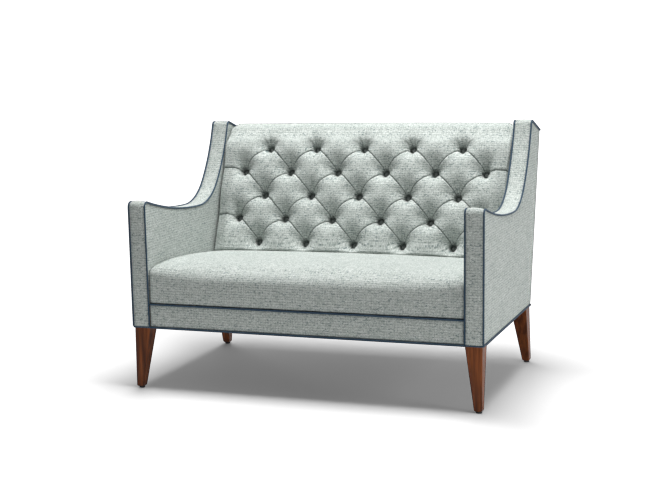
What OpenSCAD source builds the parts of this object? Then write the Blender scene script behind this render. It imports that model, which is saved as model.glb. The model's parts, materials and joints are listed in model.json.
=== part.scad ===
// High back settee: a fixed sprung seat, a deep buttoned back and scooped arms that
// sweep up into wings, on four tapered wooden legs.
// X runs across the settee, Y from its front to its back, Z up from the floor.
// Outlines in the side plane are drawn as [distance back from the front, height].

/* [Overall size] */
// Width over the piping of both arms
overall_w = 1270; // [1150:10:1500]
// Depth from the front piping to the rear edge of the wings
overall_d = 902; // [860:2:960]
// Height to the top of the wing piping
overall_h = 905; // [885:5:960]
// Height of the underside of the body above the floor
base_h = 222; // [180:2:240]

/* [Arm and wing outline] */
// Thickness of an arm over its covers
arm_t = 64; // [60:1:80]
// Height of the arm at its front
arm_front_h = 667; // [655:1:700]
// Height of the lowest point of the scooped arm
scoop_h = 607; // [595:1:615]
// Radius of the scoop where it turns up
scoop_r = 215; // [190:5:230]
// Angle that the scoop turns through before the long sweep of the wing
scoop_turn = 50; // [46:1:54]
// Radius of the long sweep up the front edge of the wing
wing_sweep_r = 614; // [580:5:660]
// Radius of the front top corner of the arm
arm_corner_r = 18; // [15:1:24]
// Radius of the front top corner of the wing
wing_corner_r = 16; // [15:1:22]
// Length of the wing's top, from its front corner to its rear edge
wing_top_w = 161.5; // [140:0.5:180]
// Angle at which the top of the wing falls towards the rear
wing_fall = 16.5; // [12:0.5:18]
// Angle at which the rear of the settee leans back
rear_lean = 12.5; // [10:0.5:14]

/* [Covers and piping] */
// Diameter of the piping cord in its cover
piping_d = 6; // [5:0.5:7]
// How far the piping stands proud of the covers
piping_proud = 2; // [1.5:0.1:2.5]
// Thickness of the padded band along the edge of the arm
band_t = 12; // [10:1:14]
// Thickness of the outside covers on their backing
panel_t = 5; // [4:0.5:6]
// Thickness of the pad on the inside of an arm
arm_pad_t = 14; // [12:1:18]
// Setback of the front border from the face of the arms
border_set = 3; // [2:0.5:5]
// Clearance between neighbouring soft parts
soft_gap = 0.3; // [0.2:0.1:0.5]

/* [Seat] */
// Height of the piping along the foot of the seat
seat_piping_h = 305; // [298:1:315]
// Height of the seat at the top of its front roll
seat_front_h = 430; // [420:2:450]
// Rise of the seat's crown above its front roll
seat_crown = 19; // [10:1:26]
// Radius of the roll along the front of the seat
seat_roll_r = 34; // [26:1:40]
// Thickness of the wadding and cover in front of and over the seat foam
seat_wrap_t = 28; // [22:1:34]
// How far the front of the seat swells forward in the middle
seat_swell = 4; // [2:0.5:5]

/* [Buttoned back] */
// Number of rows of buttons
row_count = 5; // [3:2:5]
// Number of buttons in the top row and every second row below it
short_row = 5; // [3:2:5]
// Distance from the outer buttons to the inside of the arms
button_side = 91.5; // [80:0.5:100]
// Distance of the top row of buttons below the top of the wings
top_row_drop = 113; // [108:1:118]
// Height of the lowest row of buttons above the front roll of the seat
low_row_rise = 17; // [14:1:24]
// Depth of the pad at the top row, from the buttons' seats back to the webbing
top_pad_t = 65; // [60:1:70]
// Depth of the pad at the lowest row of buttons
low_pad_t = 86; // [80:1:90]
// Height of a puff above the buttons' plane
puff_h = 34; // [26:1:38]
// Height of a pleat above the buttons' plane, halfway between two buttons
pleat_h = 17; // [12:1:20]
// Diameter of a covered button
button_d = 18; // [15:1:22]
// Height of a button's dome
button_dome_h = 6; // [4:0.5:8]
// Radius of the roll along the top of the back
back_roll_r = 40; // [34:1:46]

/* [Timber frame] */
// Depth of the front posts
post_d = 50; // [44:1:60]
// Thickness of the shaped boards that carry the arm and wing outline
board_t = 18; // [15:1:20]
// Width of a shaped board below the scoop
board_w = 80; // [70:1:90]
// Thickness of the rails
rail_t = 28; // [24:1:32]
// Height of the seat rails
rail_h = 76; // [72:1:78]
// Distance of the webbing forward of the rear at the lower back rail
web_foot_set = 142; // [136:1:150]
// Distance of the webbing forward of the rear at the top rail
web_head_set = 75; // [70:1:80]
// Height of the underside of the lower back rail
web_foot_h = 330; // [322:1:340]
// Height of the lower back rail
back_rail_h = 60; // [50:1:70]
// Distance of the top rail's underside below the top of the wings
top_rail_drop = 105; // [98:1:112]
// Width of the upright in the middle of the back
stile_w = 50; // [40:1:60]
// Side of the corner blocks
block_w = 62; // [50:1:72]
// Diameter of the dowels
dowel_d = 10; // [8:1:10]
// Length of the dowels
dowel_l = 44; // [36:1:48]

/* [Springs and webbing] */
// Number of seat springs
spring_count = 8; // [7:1:10]
// Number of cross runs of wire in one spring
spring_runs = 22; // [18:2:24]
// Width of a spring over its bends
spring_w = 52; // [48:1:60]
// Diameter of the spring wire
wire_d = 3.8; // [3.2:0.2:4.2]
// Thickness of a spring clip
clip_t = 1.2; // [1:0.1:1.5]
// Width of a spring clip
clip_w = 12; // [9:1:13]
// Width of a webbing strap
strap_w = 50; // [45:1:55]
// Thickness of a webbing strap
strap_t = 2; // [1.5:0.1:2.4]
// Thickness of the hessian behind the back's pad
hessian_t = 1.5; // [1:0.1:2]
// Thickness of the felt platform over the seat springs
platform_t = 4; // [3:0.5:5]
// Thickness of the dust cover under the settee
dust_t = 2; // [1.5:0.1:2.5]

/* [Legs] */
// Width of a leg at its top
leg_top_w = 58; // [52:1:58]
// Width of a leg at its foot
leg_foot_w = 26; // [22:1:32]
// Setback of the legs' outer faces from the covers
leg_set = 5; // [4.5:0.5:8]
// How far the feet of the front legs stand forward of their tops
front_kick = 5; // [0:1:6]
// How far the feet of the rear legs kick back
rear_kick = 39; // [20:1:50]
// Chamfer round a leg's foot
foot_chamfer = 4; // [3:0.5:5]
// Diameter of a glide
glide_d = 18; // [14:1:20]
// Height of a glide
glide_h = 5; // [4:0.5:6]
// Diameter of the hanger bolts
bolt_d = 8; // [6:1:8]
// Length of the hanger bolts
bolt_l = 50; // [44:1:56]
// Diameter of the threaded inserts
insert_d = 12; // [11:1:14]
// Length of the threaded inserts
insert_l = 20; // [16:1:22]

/* [Hidden] */

$fn = 64;
// Pale grey-green woven cover, blue piping and brown polished wood
cover_colour = "#b8c4c0";
piping_colour = "#3b5268";
leg_colour = "#6b3f28";
// Steps that the outlines' arcs are drawn in
corner_steps = 5;
sag_steps = 8;
scoop_steps = 10;
sweep_steps = 5;
crown_steps = 4;
piping_sides = 8;
spring_steps = 4;
// Overrun of every cut
over = 1;
// Crown of the arm's band as a share of the piping's stand
band_crown_share = 0.95;

// Covers and piping
piping_r = piping_d / 2;
piping_nest = piping_d - piping_proud;
piping_in = piping_nest - piping_r;
front_u = piping_proud;
face_x = overall_w / 2 - piping_proud;
inner_x = face_x - arm_t;
cover_z = base_h + piping_nest;
frame_z = base_h + dust_t;
rail_top = frame_z + rail_h;

// Frame members in the arms, from the inside out
post_in_x = inner_x + arm_pad_t;
post_out_x = face_x - panel_t - board_t;
post_mid_x = (post_in_x + post_out_x) / 2;
frame_u = front_u + band_t;
post_back_u = frame_u + post_d;

// Arcs of the arm and wing outline: each has a centre, a radius and its angles
arm_corner = [front_u + arm_corner_r, arm_front_h - arm_corner_r];
wing_top = overall_h - piping_proud;
wing_corner = [overall_d - wing_top_w + wing_corner_r, wing_top - wing_corner_r];
sweep_reach = wing_sweep_r + wing_corner_r;
sweep_to_scoop = (wing_sweep_r - scoop_r) * [sin(scoop_turn), -cos(scoop_turn)];
sweep_z = scoop_h + scoop_r - sweep_to_scoop.y;
sweep_turn = acos((sweep_z - wing_corner.y) / sweep_reach);
sweep_c = [wing_corner.x - sweep_reach * sin(sweep_turn), sweep_z];
scoop_c = sweep_c + sweep_to_scoop;
scoop_u = scoop_c.x;
sag_run = scoop_u - arm_corner.x;
sag_fall = arm_corner.y - scoop_h;
sag_r = (sag_run ^ 2 + sag_fall ^ 2 - arm_corner_r ^ 2) / (2 * (sag_fall + arm_corner_r));
sag_turn = asin(sag_run / (sag_r + arm_corner_r));
sag_c = [scoop_u, scoop_h + sag_r];
wing_run = wing_corner + wing_corner_r * [sin(wing_fall), cos(wing_fall)];
// Crown of the arm's band, which stands back a little past the outline's rear corner
band_crown = piping_proud * band_crown_share;
rear_top_u = overall_d - band_crown * sin(rear_lean) / cos(wing_fall - rear_lean);
rear_top = [rear_top_u, wing_run.y - (rear_top_u - wing_run.x) * tan(wing_fall)];

// Points of an arc, with the first left out where another arc ends on it
function arc(c, r, a0, a1, steps, first = 0) =
    [for (i = [first:steps]) let (a = a0 + (a1 - a0) * i / steps) c + r * [cos(a), sin(a)]];

// Rear top corner of the outline, set in from the top by d and from the rear by e
function rear_corner(d, e) =
    rear_top + [-d * sin(rear_lean) - e * cos(wing_fall), e * sin(wing_fall) - d * cos(rear_lean)]
    / cos(wing_fall - rear_lean);

// Rear line of the side outline at height z, set in by e
function rear_u(z, e) = let (p = rear_corner(0, e)) p.x - (p.y - z) * tan(rear_lean);

// Upper edge of an arm and its wing, set in by d
function arm_edge(d) = concat(
    arc(arm_corner, arm_corner_r - d, 180, 90 - sag_turn, corner_steps),
    arc(sag_c, sag_r + d, -90 - sag_turn, -90, sag_steps, 1),
    arc(scoop_c, scoop_r + d, -90, scoop_turn - 90, scoop_steps, 1),
    arc(sweep_c, wing_sweep_r + d, scoop_turn - 90, sweep_turn - 90, sweep_steps, 1),
    arc(wing_corner, wing_corner_r - d, sweep_turn + 90, 90 - wing_fall, corner_steps, 1)
);

// Side outline down to height z, set in by d along its edge and by e at the rear
function side_outline(d, e, z) = concat(
    [[front_u + d, z]], arm_edge(d), [rear_corner(d, e)], [[rear_u(z, e), z]]
);

// Plane that carries the webbing, at height z and off in front of the rails
top_rail_h = overall_h - top_rail_drop;
web_foot_u = rear_u(web_foot_h, 0) - web_foot_set;
web_head_u = rear_u(top_rail_h, 0) - web_head_set;
web_lean = atan((web_head_u - web_foot_u) / (top_rail_h - web_foot_h));
function web_u(z, off = 0) = web_foot_u + (z - web_foot_h) * tan(web_lean) - off;
strap_back = strap_t;
strap_front = 2 * strap_t;
hessian_front = strap_front + hessian_t;

// Frame and foam
rear_rail_u = rear_u(frame_z, panel_t) - rail_t;
// Heights of the dowels in the seat rails and the back rails
seat_dowel_shares = [0.42, 0.79];
dowel_hs = [for (share = seat_dowel_shares) frame_z + rail_h * share];
back_dowel_share = 0.25;
back_dowel_hs = [
    web_foot_h + back_rail_h * back_dowel_share, web_foot_h + back_rail_h * (1 - back_dowel_share),
    top_rail_h + back_rail_h * back_dowel_share, top_rail_h + back_rail_h * (1 - back_dowel_share)
];
// Height of a corner block as a share of the rails' height
block_share = 0.65;
// Clearance round dowels, bolts and spring ends
fit_gap = 0.1;
spring_u0 = frame_u + rail_t / 2;
spring_u1 = rear_rail_u + rail_t / 2;
spring_bend_r = (spring_u1 - spring_u0) / (spring_runs - 1) / 2;
spring_z = rail_top + clip_t + fit_gap + wire_d / 2;
platform_z = spring_z + wire_d / 2 + soft_gap;

glide_pin_d = 3;
glide_pin_l = 12;

// Rows and columns of the buttons, and the leaning plane that they are drawn into
top_row_h = overall_h - top_row_drop;
low_row_h = seat_front_h + low_row_rise;
row_pitch = (top_row_h - low_row_h) / (row_count - 1);
button_pitch = 2 * (inner_x - button_side) / short_row;
top_row_u = web_u(top_row_h) - top_pad_t;
low_row_u = web_u(low_row_h) - low_pad_t;
button_lean = atan((top_row_u - low_row_u) / (top_row_h - low_row_h));
// Twine runs square to the buttons' plane, so it falls by this on its way back
tie_fall = (web_u(top_row_h, strap_front) - top_row_u) * sin(button_lean) * cos(button_lean);

// Seat
border_u = front_u + border_set;
seat_face_u = piping_d + piping_proud;
seat_foot = seat_piping_h + piping_r + soft_gap;
// Foot of the back's buttoned face, a quarter of a row under the lowest buttons
tuft_cells = 4;
tuck_h = low_row_h - row_pitch / tuft_cells;
function button_u(z) = top_row_u + (z - top_row_h) * tan(button_lean);
tuck_u = button_u(tuck_h);
seat_rear_u = tuck_u - 2 * soft_gap;
seat_rear_h = tuck_h - piping_d / 2;
// Wadding behind the foam as a share of the wadding in front of it
rear_wrap_share = 0.25;
foam_u0 = seat_face_u + seat_wrap_t + soft_gap;
foam_u1 = seat_rear_u - seat_wrap_t * rear_wrap_share - soft_gap;
foam_top = seat_front_h - seat_wrap_t;
seat_columns = 9;
seat_roll_steps = 5;
seat_top_steps = 9;
// Swell of the seat's front and its height, and the draw of its sides
seat_swell_share = 0.8;
seat_swell_h_share = 0.4;
seat_side_share = 0.2;
seat_side_drop = 5;
seat_side_power = 10;

// Settee's own front at Y of minus half its depth
module settle() { translate([0, -overall_d / 2, 0]) children(); }

// Draws a right-hand piece, or its mirror image on the left
module hand(side) {
    if (side < 0) mirror([1, 0, 0]) children();
    else children();
}

// Extrudes a side outline from x0 to x1
module slab(x0, x1) {
    translate([x0, 0, 0]) rotate([90, 0, 90]) linear_extrude(x1 - x0) children();
}

// Line along the edge of the arm and wing from height z to the rear, set in by d
function edge_line(d, z, e) = concat([[front_u + d, z]], arm_edge(d), [rear_corner(d, e)]);

// Triangles of a cell whose corners are a to d in turn, split from a to c or from b to d
function cell(a, b, c, d, split) = split ? [[a, b, c], [a, c, d]] : [[a, b, d], [b, c, d]];

// Triangles of a sheet of points, wide columns of tall points, starting at first
function sheet(wide, tall, first, flip) = [
    for (i = [0:wide - 2], j = [0:tall - 2])
        let (a = first + i * tall + j, b = a + tall)
        each flip ? cell(a, b, b + 1, a + 1, true) : cell(a, a + 1, b + 1, b, true)
];

// Triangles between two chains of points, from a and from b, step apart
function strip(a, b, count, step, flip) = [
    for (i = [0:count - 2], k = [0, 1])
        let (p = a + i * step, q = b + i * step)
        flip ? (k == 0 ? [p, q, q + step] : [p, q + step, p + step])
        : (k == 0 ? [p, q + step, q] : [p, p + step, q + step])
];

// Sweeps a section of [outward, across] points along the edge of the arm and wing
module edge_sweep(section, z, e) {
    lines = [for (p = section) [for (q = edge_line(-p.x, z, e)) [p.y, q.x, q.y]]];
    tall = len(lines[0]);
    wide = len(section);
    last = (wide - 1) * tall;
    polyhedron([for (line = lines) for (p = line) p], concat(
        sheet(wide, tall, 0, false), strip(last, 0, tall, 1, false),
        [[for (i = [0:wide - 1]) i * tall]], [[for (i = [wide - 1:-1:0]) (i + 1) * tall - 1]]
    ));
}

// Rod along X, or a quarter bend in the floor's plane from heading X to heading Y
module rod(length) { rotate([0, 90, 0]) cylinder(h = length, r = piping_r); }
module quarter_bend(r) {
    translate([0, r, 0]) rotate([0, 0, -90]) rotate_extrude(angle = 90)
        translate([r, 0]) circle(piping_r);
}

// Timber frame

// Region of the side plane behind the webbing, from height z up
module behind_web(z, off) {
    foot = max(z, web_foot_h);
    polygon(concat(
        z < foot ? [[web_u(foot, off), z]] : [],
        [[web_u(foot, off), foot], [web_u(overall_h, off), overall_h]],
        [[overall_d, overall_h], [overall_d, z]]
    ));
}

// Posts stand in the arms between the inside pads and the shaped boards
module front_post(side) {
    color("burlywood") settle() hand(side) difference() {
        slab(post_in_x, post_out_x) intersection() {
            polygon(side_outline(band_t, panel_t, frame_z));
            translate([frame_u, frame_z]) square([post_d, overall_h]);
        }
        dowels(fit_gap);
        insert_holes();
    }
}

module back_post(side) {
    color("burlywood") settle() hand(side) difference() {
        slab(post_in_x, post_out_x) intersection() {
            polygon(side_outline(band_t, panel_t, frame_z));
            behind_web(frame_z, strap_back);
        }
        dowels(fit_gap);
        insert_holes();
    }
}

// Shaped board: follows the arm's edge, then widens into the wing down to wing_foot
module arm_board(side) {
    low_d = band_t + board_w;
    wing_foot = scoop_c.y + (scoop_r + low_d) * sin(scoop_turn - 90);
    low_turn = asin((scoop_u - frame_u) / (sag_r + low_d));
    low_scoop = arc(scoop_c, scoop_r + low_d, scoop_turn - 90, -90, scoop_steps);
    low_sag = arc(sag_c, sag_r + low_d, -90, -90 - low_turn, sag_steps, 1);
    color("tan") settle() hand(side) slab(post_out_x, post_out_x + board_t) polygon(concat(
        arm_edge(band_t), [rear_corner(band_t, panel_t)], [[rear_u(wing_foot, panel_t), wing_foot]],
        low_scoop, low_sag
    ));
}

module side_rail(side) {
    back_u = web_u(web_foot_h, strap_back);
    color("burlywood") settle() hand(side) difference() {
        translate([post_in_x, post_back_u, frame_z])
            cube([post_out_x - post_in_x, back_u - post_back_u, rail_h]);
        dowels(fit_gap);
    }
}

module seat_rail(u) {
    color("burlywood") settle() difference() {
        translate([-post_in_x, u, frame_z]) cube([2 * post_in_x, rail_t, rail_h]);
        for (side = [-1, 1]) hand(side) dowels(fit_gap);
    }
}

// Outline that leans with the webbing's plane, between heights z0 and z1
module leaning(z0, z1, front, back) {
    polygon([
        [web_u(z0, front), z0], [web_u(z0, back), z0], [web_u(z1, back), z1], [web_u(z1, front), z1]
    ]);
}

module lower_back_rail() {
    color("burlywood") settle() difference() {
        slab(-post_in_x, post_in_x)
            leaning(web_foot_h, web_foot_h + back_rail_h, 0, -rail_t);
        for (side = [-1, 1]) hand(side) dowels(fit_gap);
    }
}

module top_back_rail() {
    color("burlywood") settle() difference() {
        slab(-post_in_x, post_in_x) intersection() {
            polygon(side_outline(band_t, panel_t, frame_z));
            behind_web(top_rail_h, 0);
        }
        for (side = [-1, 1]) hand(side) dowels(fit_gap);
    }
}

module centre_back_stile() {
    color("burlywood") settle() slab(-stile_w / 2, stile_w / 2)
        leaning(web_foot_h + back_rail_h, top_rail_h, 0, -rail_t);
}

module corner_blocks() {
    front = frame_u + rail_t;
    color("wheat") settle() for (side = [-1, 1]) hand(side)
        translate([0, 0, frame_z]) linear_extrude(rail_h * block_share) {
            polygon([[post_in_x, front], [post_in_x - block_w, front], [post_in_x, front + block_w]]);
            polygon([
                [post_in_x, rear_rail_u], [post_in_x - block_w, rear_rail_u],
                [post_in_x, rear_rail_u - block_w]
            ]);
        }
}

// Dowels of the right-hand half, or their holes with a gap all round
module dowels(gap) {
    length = dowel_l + 2 * gap;
    for (z = dowel_hs) {
        for (u = [frame_u + rail_t / 2, rear_rail_u + rail_t / 2])
            translate([post_in_x - length / 2, u, z]) rotate([0, 90, 0])
                cylinder(h = length, d = dowel_d + 2 * gap);
        for (u = [post_back_u, web_u(web_foot_h, strap_back)])
            translate([post_mid_x, u + length / 2, z]) rotate([90, 0, 0])
                cylinder(h = length, d = dowel_d + 2 * gap);
    }
    for (z = back_dowel_hs)
        translate([post_in_x - length / 2, web_u(z) + rail_t / 2, z]) rotate([0, 90, 0])
            cylinder(h = length, d = dowel_d + 2 * gap);
}

module frame_dowels() {
    color("navajowhite") settle() for (side = [-1, 1]) hand(side) dowels(0);
}

// Springs and webbing

// Zigzag spring: cross runs of wire joined by half-round bends, as its two edges
function spring_edge(out) =
    let (reach = spring_w / 2 - wire_d / 2 - spring_bend_r) concat(
        [[-reach, spring_u0 - out]],
        [for (i = [0:spring_runs - 2], k = [0:spring_steps])
            let (
                way = i % 2 == 0 ? 1 : -1,
                a = 180 * k / spring_steps - 90,
                r = spring_bend_r + way * out
            ) [way * (reach + r * cos(a)), spring_u0 + (2 * i + 1) * spring_bend_r + r * sin(a)]],
        [[reach * (spring_runs % 2 == 0 ? -1 : 1), spring_u1 + out * (spring_runs % 2 == 0 ? 1 : -1)]]
    );

function reversed(list) = [for (i = [len(list) - 1:-1:0]) list[i]];

module spring() {
    linear_extrude(wire_d, center = true) polygon(concat(
        spring_edge(wire_d / 2), reversed(spring_edge(-wire_d / 2))
    ));
}

module at_springs() {
    pitch = 2 * post_in_x / spring_count;
    for (i = [0:spring_count - 1]) translate([(i - (spring_count - 1) / 2) * pitch, 0, 0]) children();
}

module seat_springs() {
    color("slategray") settle() at_springs() translate([0, 0, spring_z]) spring();
}

// Clips: a flat plate nailed to the rail, with a loop that holds the spring's end
module spring_clips() {
    bore = wire_d + 2 * fit_gap;
    color("dimgray") settle() at_springs() for (u = [spring_u0, spring_u1])
        slab(-clip_w / 2, clip_w / 2) difference() {
            union() {
                translate([u, spring_z]) square(bore + 2 * clip_t, center = true);
                translate([u - clip_w / 2, rail_top]) square([clip_w, clip_t]);
            }
            translate([u, spring_z]) square(bore, center = true);
        }
}

module seat_platform() {
    front = foam_u0;
    color("gainsboro") settle() translate([soft_gap - inner_x, front, platform_z])
        cube([2 * (inner_x - soft_gap), spring_u1 - clip_w - front, platform_t]);
}

module back_upright_webbing() {
    color("peru") settle() for (i = [0:2 * short_row + 1])
        translate([(i - short_row - 1 / 2) * button_pitch / 2, 0, 0])
            slab(-strap_w / 2, strap_w / 2)
                leaning(web_foot_h, web_corner(0, band_t).y, strap_back, 0);
}

// Level straps pass halfway between the rows of ties
module back_level_webbing() {
    color("peru") settle() for (i = [1:row_count - 1]) {
        z = top_row_h - tie_fall - (i - 1 / 2) * row_pitch;
        slab(-post_mid_x, post_mid_x)
            leaning(z - strap_w / 2, z + strap_w / 2, strap_front, strap_back);
    }
}

module back_hessian() {
    color("tan") settle() slab(soft_gap - inner_x, inner_x - soft_gap)
        leaning(web_foot_h, web_corner(0, band_t).y, hessian_front, strap_front);
}

// Seat

// Side outline's line along the top of the wing, set in by d, meets the webbing's plane
function web_corner(off, d) =
    let (
        rise = wing_run.y + wing_run.x * tan(wing_fall) - d / cos(wing_fall),
        u = (rise - web_foot_h + (web_foot_u - off) / tan(web_lean)) / (1 / tan(web_lean) + tan(wing_fall))
    ) [u, rise - u * tan(wing_fall)];

module seat_foam() {
    color("khaki") settle() translate([soft_gap - inner_x, foam_u0, platform_z + platform_t])
        cube([2 * (inner_x - soft_gap), foam_u1 - foam_u0, foam_top - platform_z - platform_t]);
}

// Outer line of the seat's cover at a share q of its half width
function seat_line(q) =
    let (
        swell = seat_swell * (1 - q ^ 2),
        face = seat_face_u - swell,
        start = face + seat_roll_r,
        drop = seat_side_drop * q ^ seat_side_power
    ) concat(
        [
            [seat_face_u, seat_foot],
            [
                seat_face_u - swell * seat_swell_share,
                seat_foot + (seat_front_h - seat_foot) * seat_swell_h_share
            ]
        ],
        arc([start, seat_front_h - seat_roll_r - drop], seat_roll_r, 180, 90, seat_roll_steps),
        [for (i = [1:seat_top_steps - 1]) let (t = i / seat_top_steps) [
            start + (seat_rear_u - start) * t,
            seat_front_h - drop + (seat_rear_h - seat_front_h) * t ^ 3
            + seat_crown * (1 - seat_side_share * q ^ 4) * sin(180 * t)
        ]],
        [[seat_rear_u, seat_rear_h - drop], [seat_rear_u, seat_foot]]
    );

// Inner line, round the foam, with as many points as the outer line
function foam_line(turn, last) = [
    for (i = [0:last])
        i <= turn ? [foam_u0 - soft_gap, seat_foot + (foam_top + soft_gap - seat_foot) * i / turn]
        : i < last ? [
            foam_u0 - soft_gap + (foam_u1 - foam_u0 + 2 * soft_gap) * (i - turn) / (last - 1 - turn),
            foam_top + soft_gap
        ]
        : [foam_u1 + soft_gap, seat_foot]
];

module seat_cover() {
    half = inner_x - soft_gap;
    outer = [for (i = [-seat_columns:seat_columns]) let (q = i / seat_columns)
        for (p = seat_line(abs(q))) [half * q, p.x, p.y]];
    tall = len(seat_line(0));
    wide = 2 * seat_columns + 1;
    inner = [for (i = [-seat_columns:seat_columns])
        for (p = foam_line(seat_roll_steps + 2, tall - 1)) [half * i / seat_columns, p.x, p.y]];
    n = wide * tall;
    color(cover_colour) settle() polyhedron(concat(outer, inner), concat(
        sheet(wide, tall, 0, false), sheet(wide, tall, n, true),
        strip(0, n, tall, 1, true), strip(n - tall, 2 * n - tall, tall, 1, false),
        strip(0, n, wide, tall, false), strip(tall - 1, n + tall - 1, wide, tall, true)
    ));
}

module front_border() {
    half = inner_x + piping_in - piping_r - soft_gap;
    color(cover_colour) settle() translate([-half, border_u, cover_z])
        cube([2 * half, frame_u - border_u, seat_foot - 2 * soft_gap - piping_d - cover_z]);
}

module seat_piping() {
    half = inner_x + piping_in - piping_r - soft_gap;
    color(piping_colour) settle() translate([-half, border_u + piping_in, seat_piping_h])
        rotate([0, 90, 0]) cylinder(h = 2 * half, d = piping_d);
}

// Buttoned back

// Share of a row's pitch by which the top row's buttons stand off the middle
row_shift = (short_row - 1) / 2 % 1;
long_reach = short_row / 2 * button_pitch;
// Puff left at the sides and over the top, as shares of a full puff
side_puff_share = 0.3;
top_puff_share = 0.45;
// Powers that shape the pleats and the puffs between them
pleat_power = 0.5;
puff_power = 0.6;
// Columns of the back's face between its outer buttons, and outside them
face_cells = 2 * tuft_cells * short_row;
edge_cells = 2;
roll_steps = 4;
// How far the top of the back lies under the top of the wings
back_set = 4;

// How far x and z lie from the pleats that fall to the right and from those that rise to it
function off_pleats(x, z) =
    let (
        xs = max(-long_reach, min(long_reach, x)) / button_pitch + row_shift,
        zs = (max(low_row_h, min(top_row_h, z)) - top_row_h) / row_pitch / 2
    ) [abs(sin(180 * (xs + zs))), abs(sin(180 * (xs - zs)))];

// Height of the buttoned face over the buttons' plane
function tuft(x, z) =
    let (off = off_pleats(x, z))
    pleat_h * max(off) ^ pleat_power + (puff_h - pleat_h) * (off.x * off.y) ^ puff_power;

// The same height, drawn in towards the sides and smoothed towards the top roll
function face_h(x, z) =
    let (
        half = inner_x - soft_gap,
        side = min(1, (half - abs(x)) / (half - long_reach)),
        up = max(0, min(1, (roll_start.y - z) / (roll_start.y - top_row_h))),
        foot = max(0, min(1, (z - tuck_h) / (low_row_h - tuck_h))),
        plain = puff_h * top_puff_share
    ) foot * (plain + (tuft(x, z) - plain) * up) * (side_puff_share + (1 - side_puff_share) * side);

// Roll along the top, between the buttons' plane and the line of the wings' tops
roll_turn = 90 - button_lean + wing_fall;
top_rise = wing_run.y + wing_run.x * tan(wing_fall) - back_set / cos(wing_fall);
roll_peak_u = (top_rise - top_row_h + top_row_u / tan(button_lean))
    / (1 / tan(button_lean) + tan(wing_fall));
roll_peak = [roll_peak_u, top_rise - roll_peak_u * tan(wing_fall)];
roll_start = roll_peak - back_roll_r * tan(roll_turn / 2) * [sin(button_lean), cos(button_lean)];
roll_c = roll_start + back_roll_r * [cos(button_lean), -sin(button_lean)];

row_hs = concat(
    [for (i = [0:tuft_cells * (row_count - 1)]) low_row_h + i * row_pitch / tuft_cells],
    [(top_row_h + roll_start.y) / 2]
);
tall = len(row_hs) + roll_steps + 4;

// Triangles of the buttoned face, with each cell split along the pleat nearer to it
function face_sheet(wide) = [
    for (i = [0:wide - 2], j = [0:tall - 2])
        let (
            a = i * tall + j,
            row = max(1, min(len(row_hs) - 1, j - 1)),
            off = off_pleats((face_xs[i] + face_xs[i + 1]) / 2, (row_hs[row] + row_hs[row - 1]) / 2)
        )
        each cell(a, a + 1, a + 1 + tall, a + tall, off.y <= off.x)
];

// Line of the back's face at x, from its tucked foot over the top to the rear
function back_line(x) = concat(
    [[tuck_u, web_foot_h], [tuck_u, tuck_h]],
    [for (z = row_hs) let (h = face_h(x, z))
        [button_u(z) - h * cos(button_lean), z + h * sin(button_lean)]],
    [for (i = [0:roll_steps]) let (
        a = 180 - button_lean - roll_turn * i / roll_steps,
        h = face_h(x, roll_start.y) * (1 - i / roll_steps)
    ) roll_c + (back_roll_r + h) * [cos(a), sin(a)]],
    [rear_corner(back_set, 2 * soft_gap)]
);

// Line of the pad's back, up the hessian and over the top rail
back_corner = web_corner(hessian_front + soft_gap, band_t - soft_gap);
back_end = rear_corner(band_t - soft_gap, 2 * soft_gap);
front_rows = len(row_hs) + 3;
pad_line = concat(
    [for (z = concat([web_foot_h, tuck_h], row_hs, [roll_start.y]))
        [web_u(z, hessian_front + soft_gap), z]],
    [for (i = [0:tall - front_rows - 1])
        back_corner + (back_end - back_corner) * i / (tall - front_rows - 1)]
);

// Columns of the back's face, a whole number of them from button to button
side_xs = [for (i = [1:edge_cells]) long_reach + (inner_x - soft_gap - long_reach) * i / edge_cells];
face_xs = concat(
    [for (i = [1:edge_cells]) -side_xs[edge_cells - i]],
    [for (i = [0:face_cells]) long_reach * (2 * i / face_cells - 1)],
    side_xs
);

module inside_back() {
    wide = len(face_xs);
    n = wide * tall;
    face = [for (x = face_xs) for (p = back_line(x)) [x, p.x, p.y]];
    rear = [for (x = [face_xs[0], face_xs[wide - 1]]) for (p = pad_line) [x, p.x, p.y]];
    last = n - tall;
    color(cover_colour) settle() polyhedron(concat(face, rear), concat(
        face_sheet(wide), sheet(2, tall, n, true),
        strip(0, n, tall, 1, true), strip(last, n + tall, tall, 1, false),
        [for (i = [0:wide - 2]) [n, i * tall, (i + 1) * tall]], [[n, last, n + tall]],
        [for (i = [0:wide - 2]) [n + tall - 1, (i + 2) * tall - 1, (i + 1) * tall - 1]],
        [[n + tall - 1, n + 2 * tall - 1, n - 1]]
    ));
}

// Places of the buttons, each as [across, back, up]
button_places = [for (row = [0:row_count - 1])
    let (count = short_row + row % 2, z = top_row_h - row * row_pitch)
    for (i = [0:count - 1]) [(i - (count - 1) / 2) * button_pitch, button_u(z), z]];

// Stands children on the buttons' plane, facing out of it
module at_buttons() {
    for (p = button_places) translate(p) rotate([90 - button_lean, 0, 0]) children();
}

// Covered button: a dome on a flat back, drawn down to a point where the twine pulls it in
// Height of the puffs one step of their face from a button, and the button's seat on them
button_rise = tuft((short_row - 1) / 2 * button_pitch, top_row_h - row_pitch / tuft_cells);
button_seat_h = 2 * soft_gap + button_d / 2 * button_rise * tuft_cells / row_pitch;
shank_share = 0.2;
module back_buttons() {
    r = button_d / 2;
    dome_r = (r ^ 2 + button_dome_h ^ 2) / 2 / button_dome_h;
    color(cover_colour) settle() at_buttons() rotate_extrude() {
        translate([0, button_seat_h]) intersection() {
            translate([0, button_dome_h - dome_r]) circle(dome_r);
            square([r, button_dome_h]);
        }
        polygon([
            [0, soft_gap], [r * shank_share, button_seat_h],
            [r * shank_share, button_seat_h + over], [0, button_seat_h + over]
        ]);
    }
}

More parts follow.
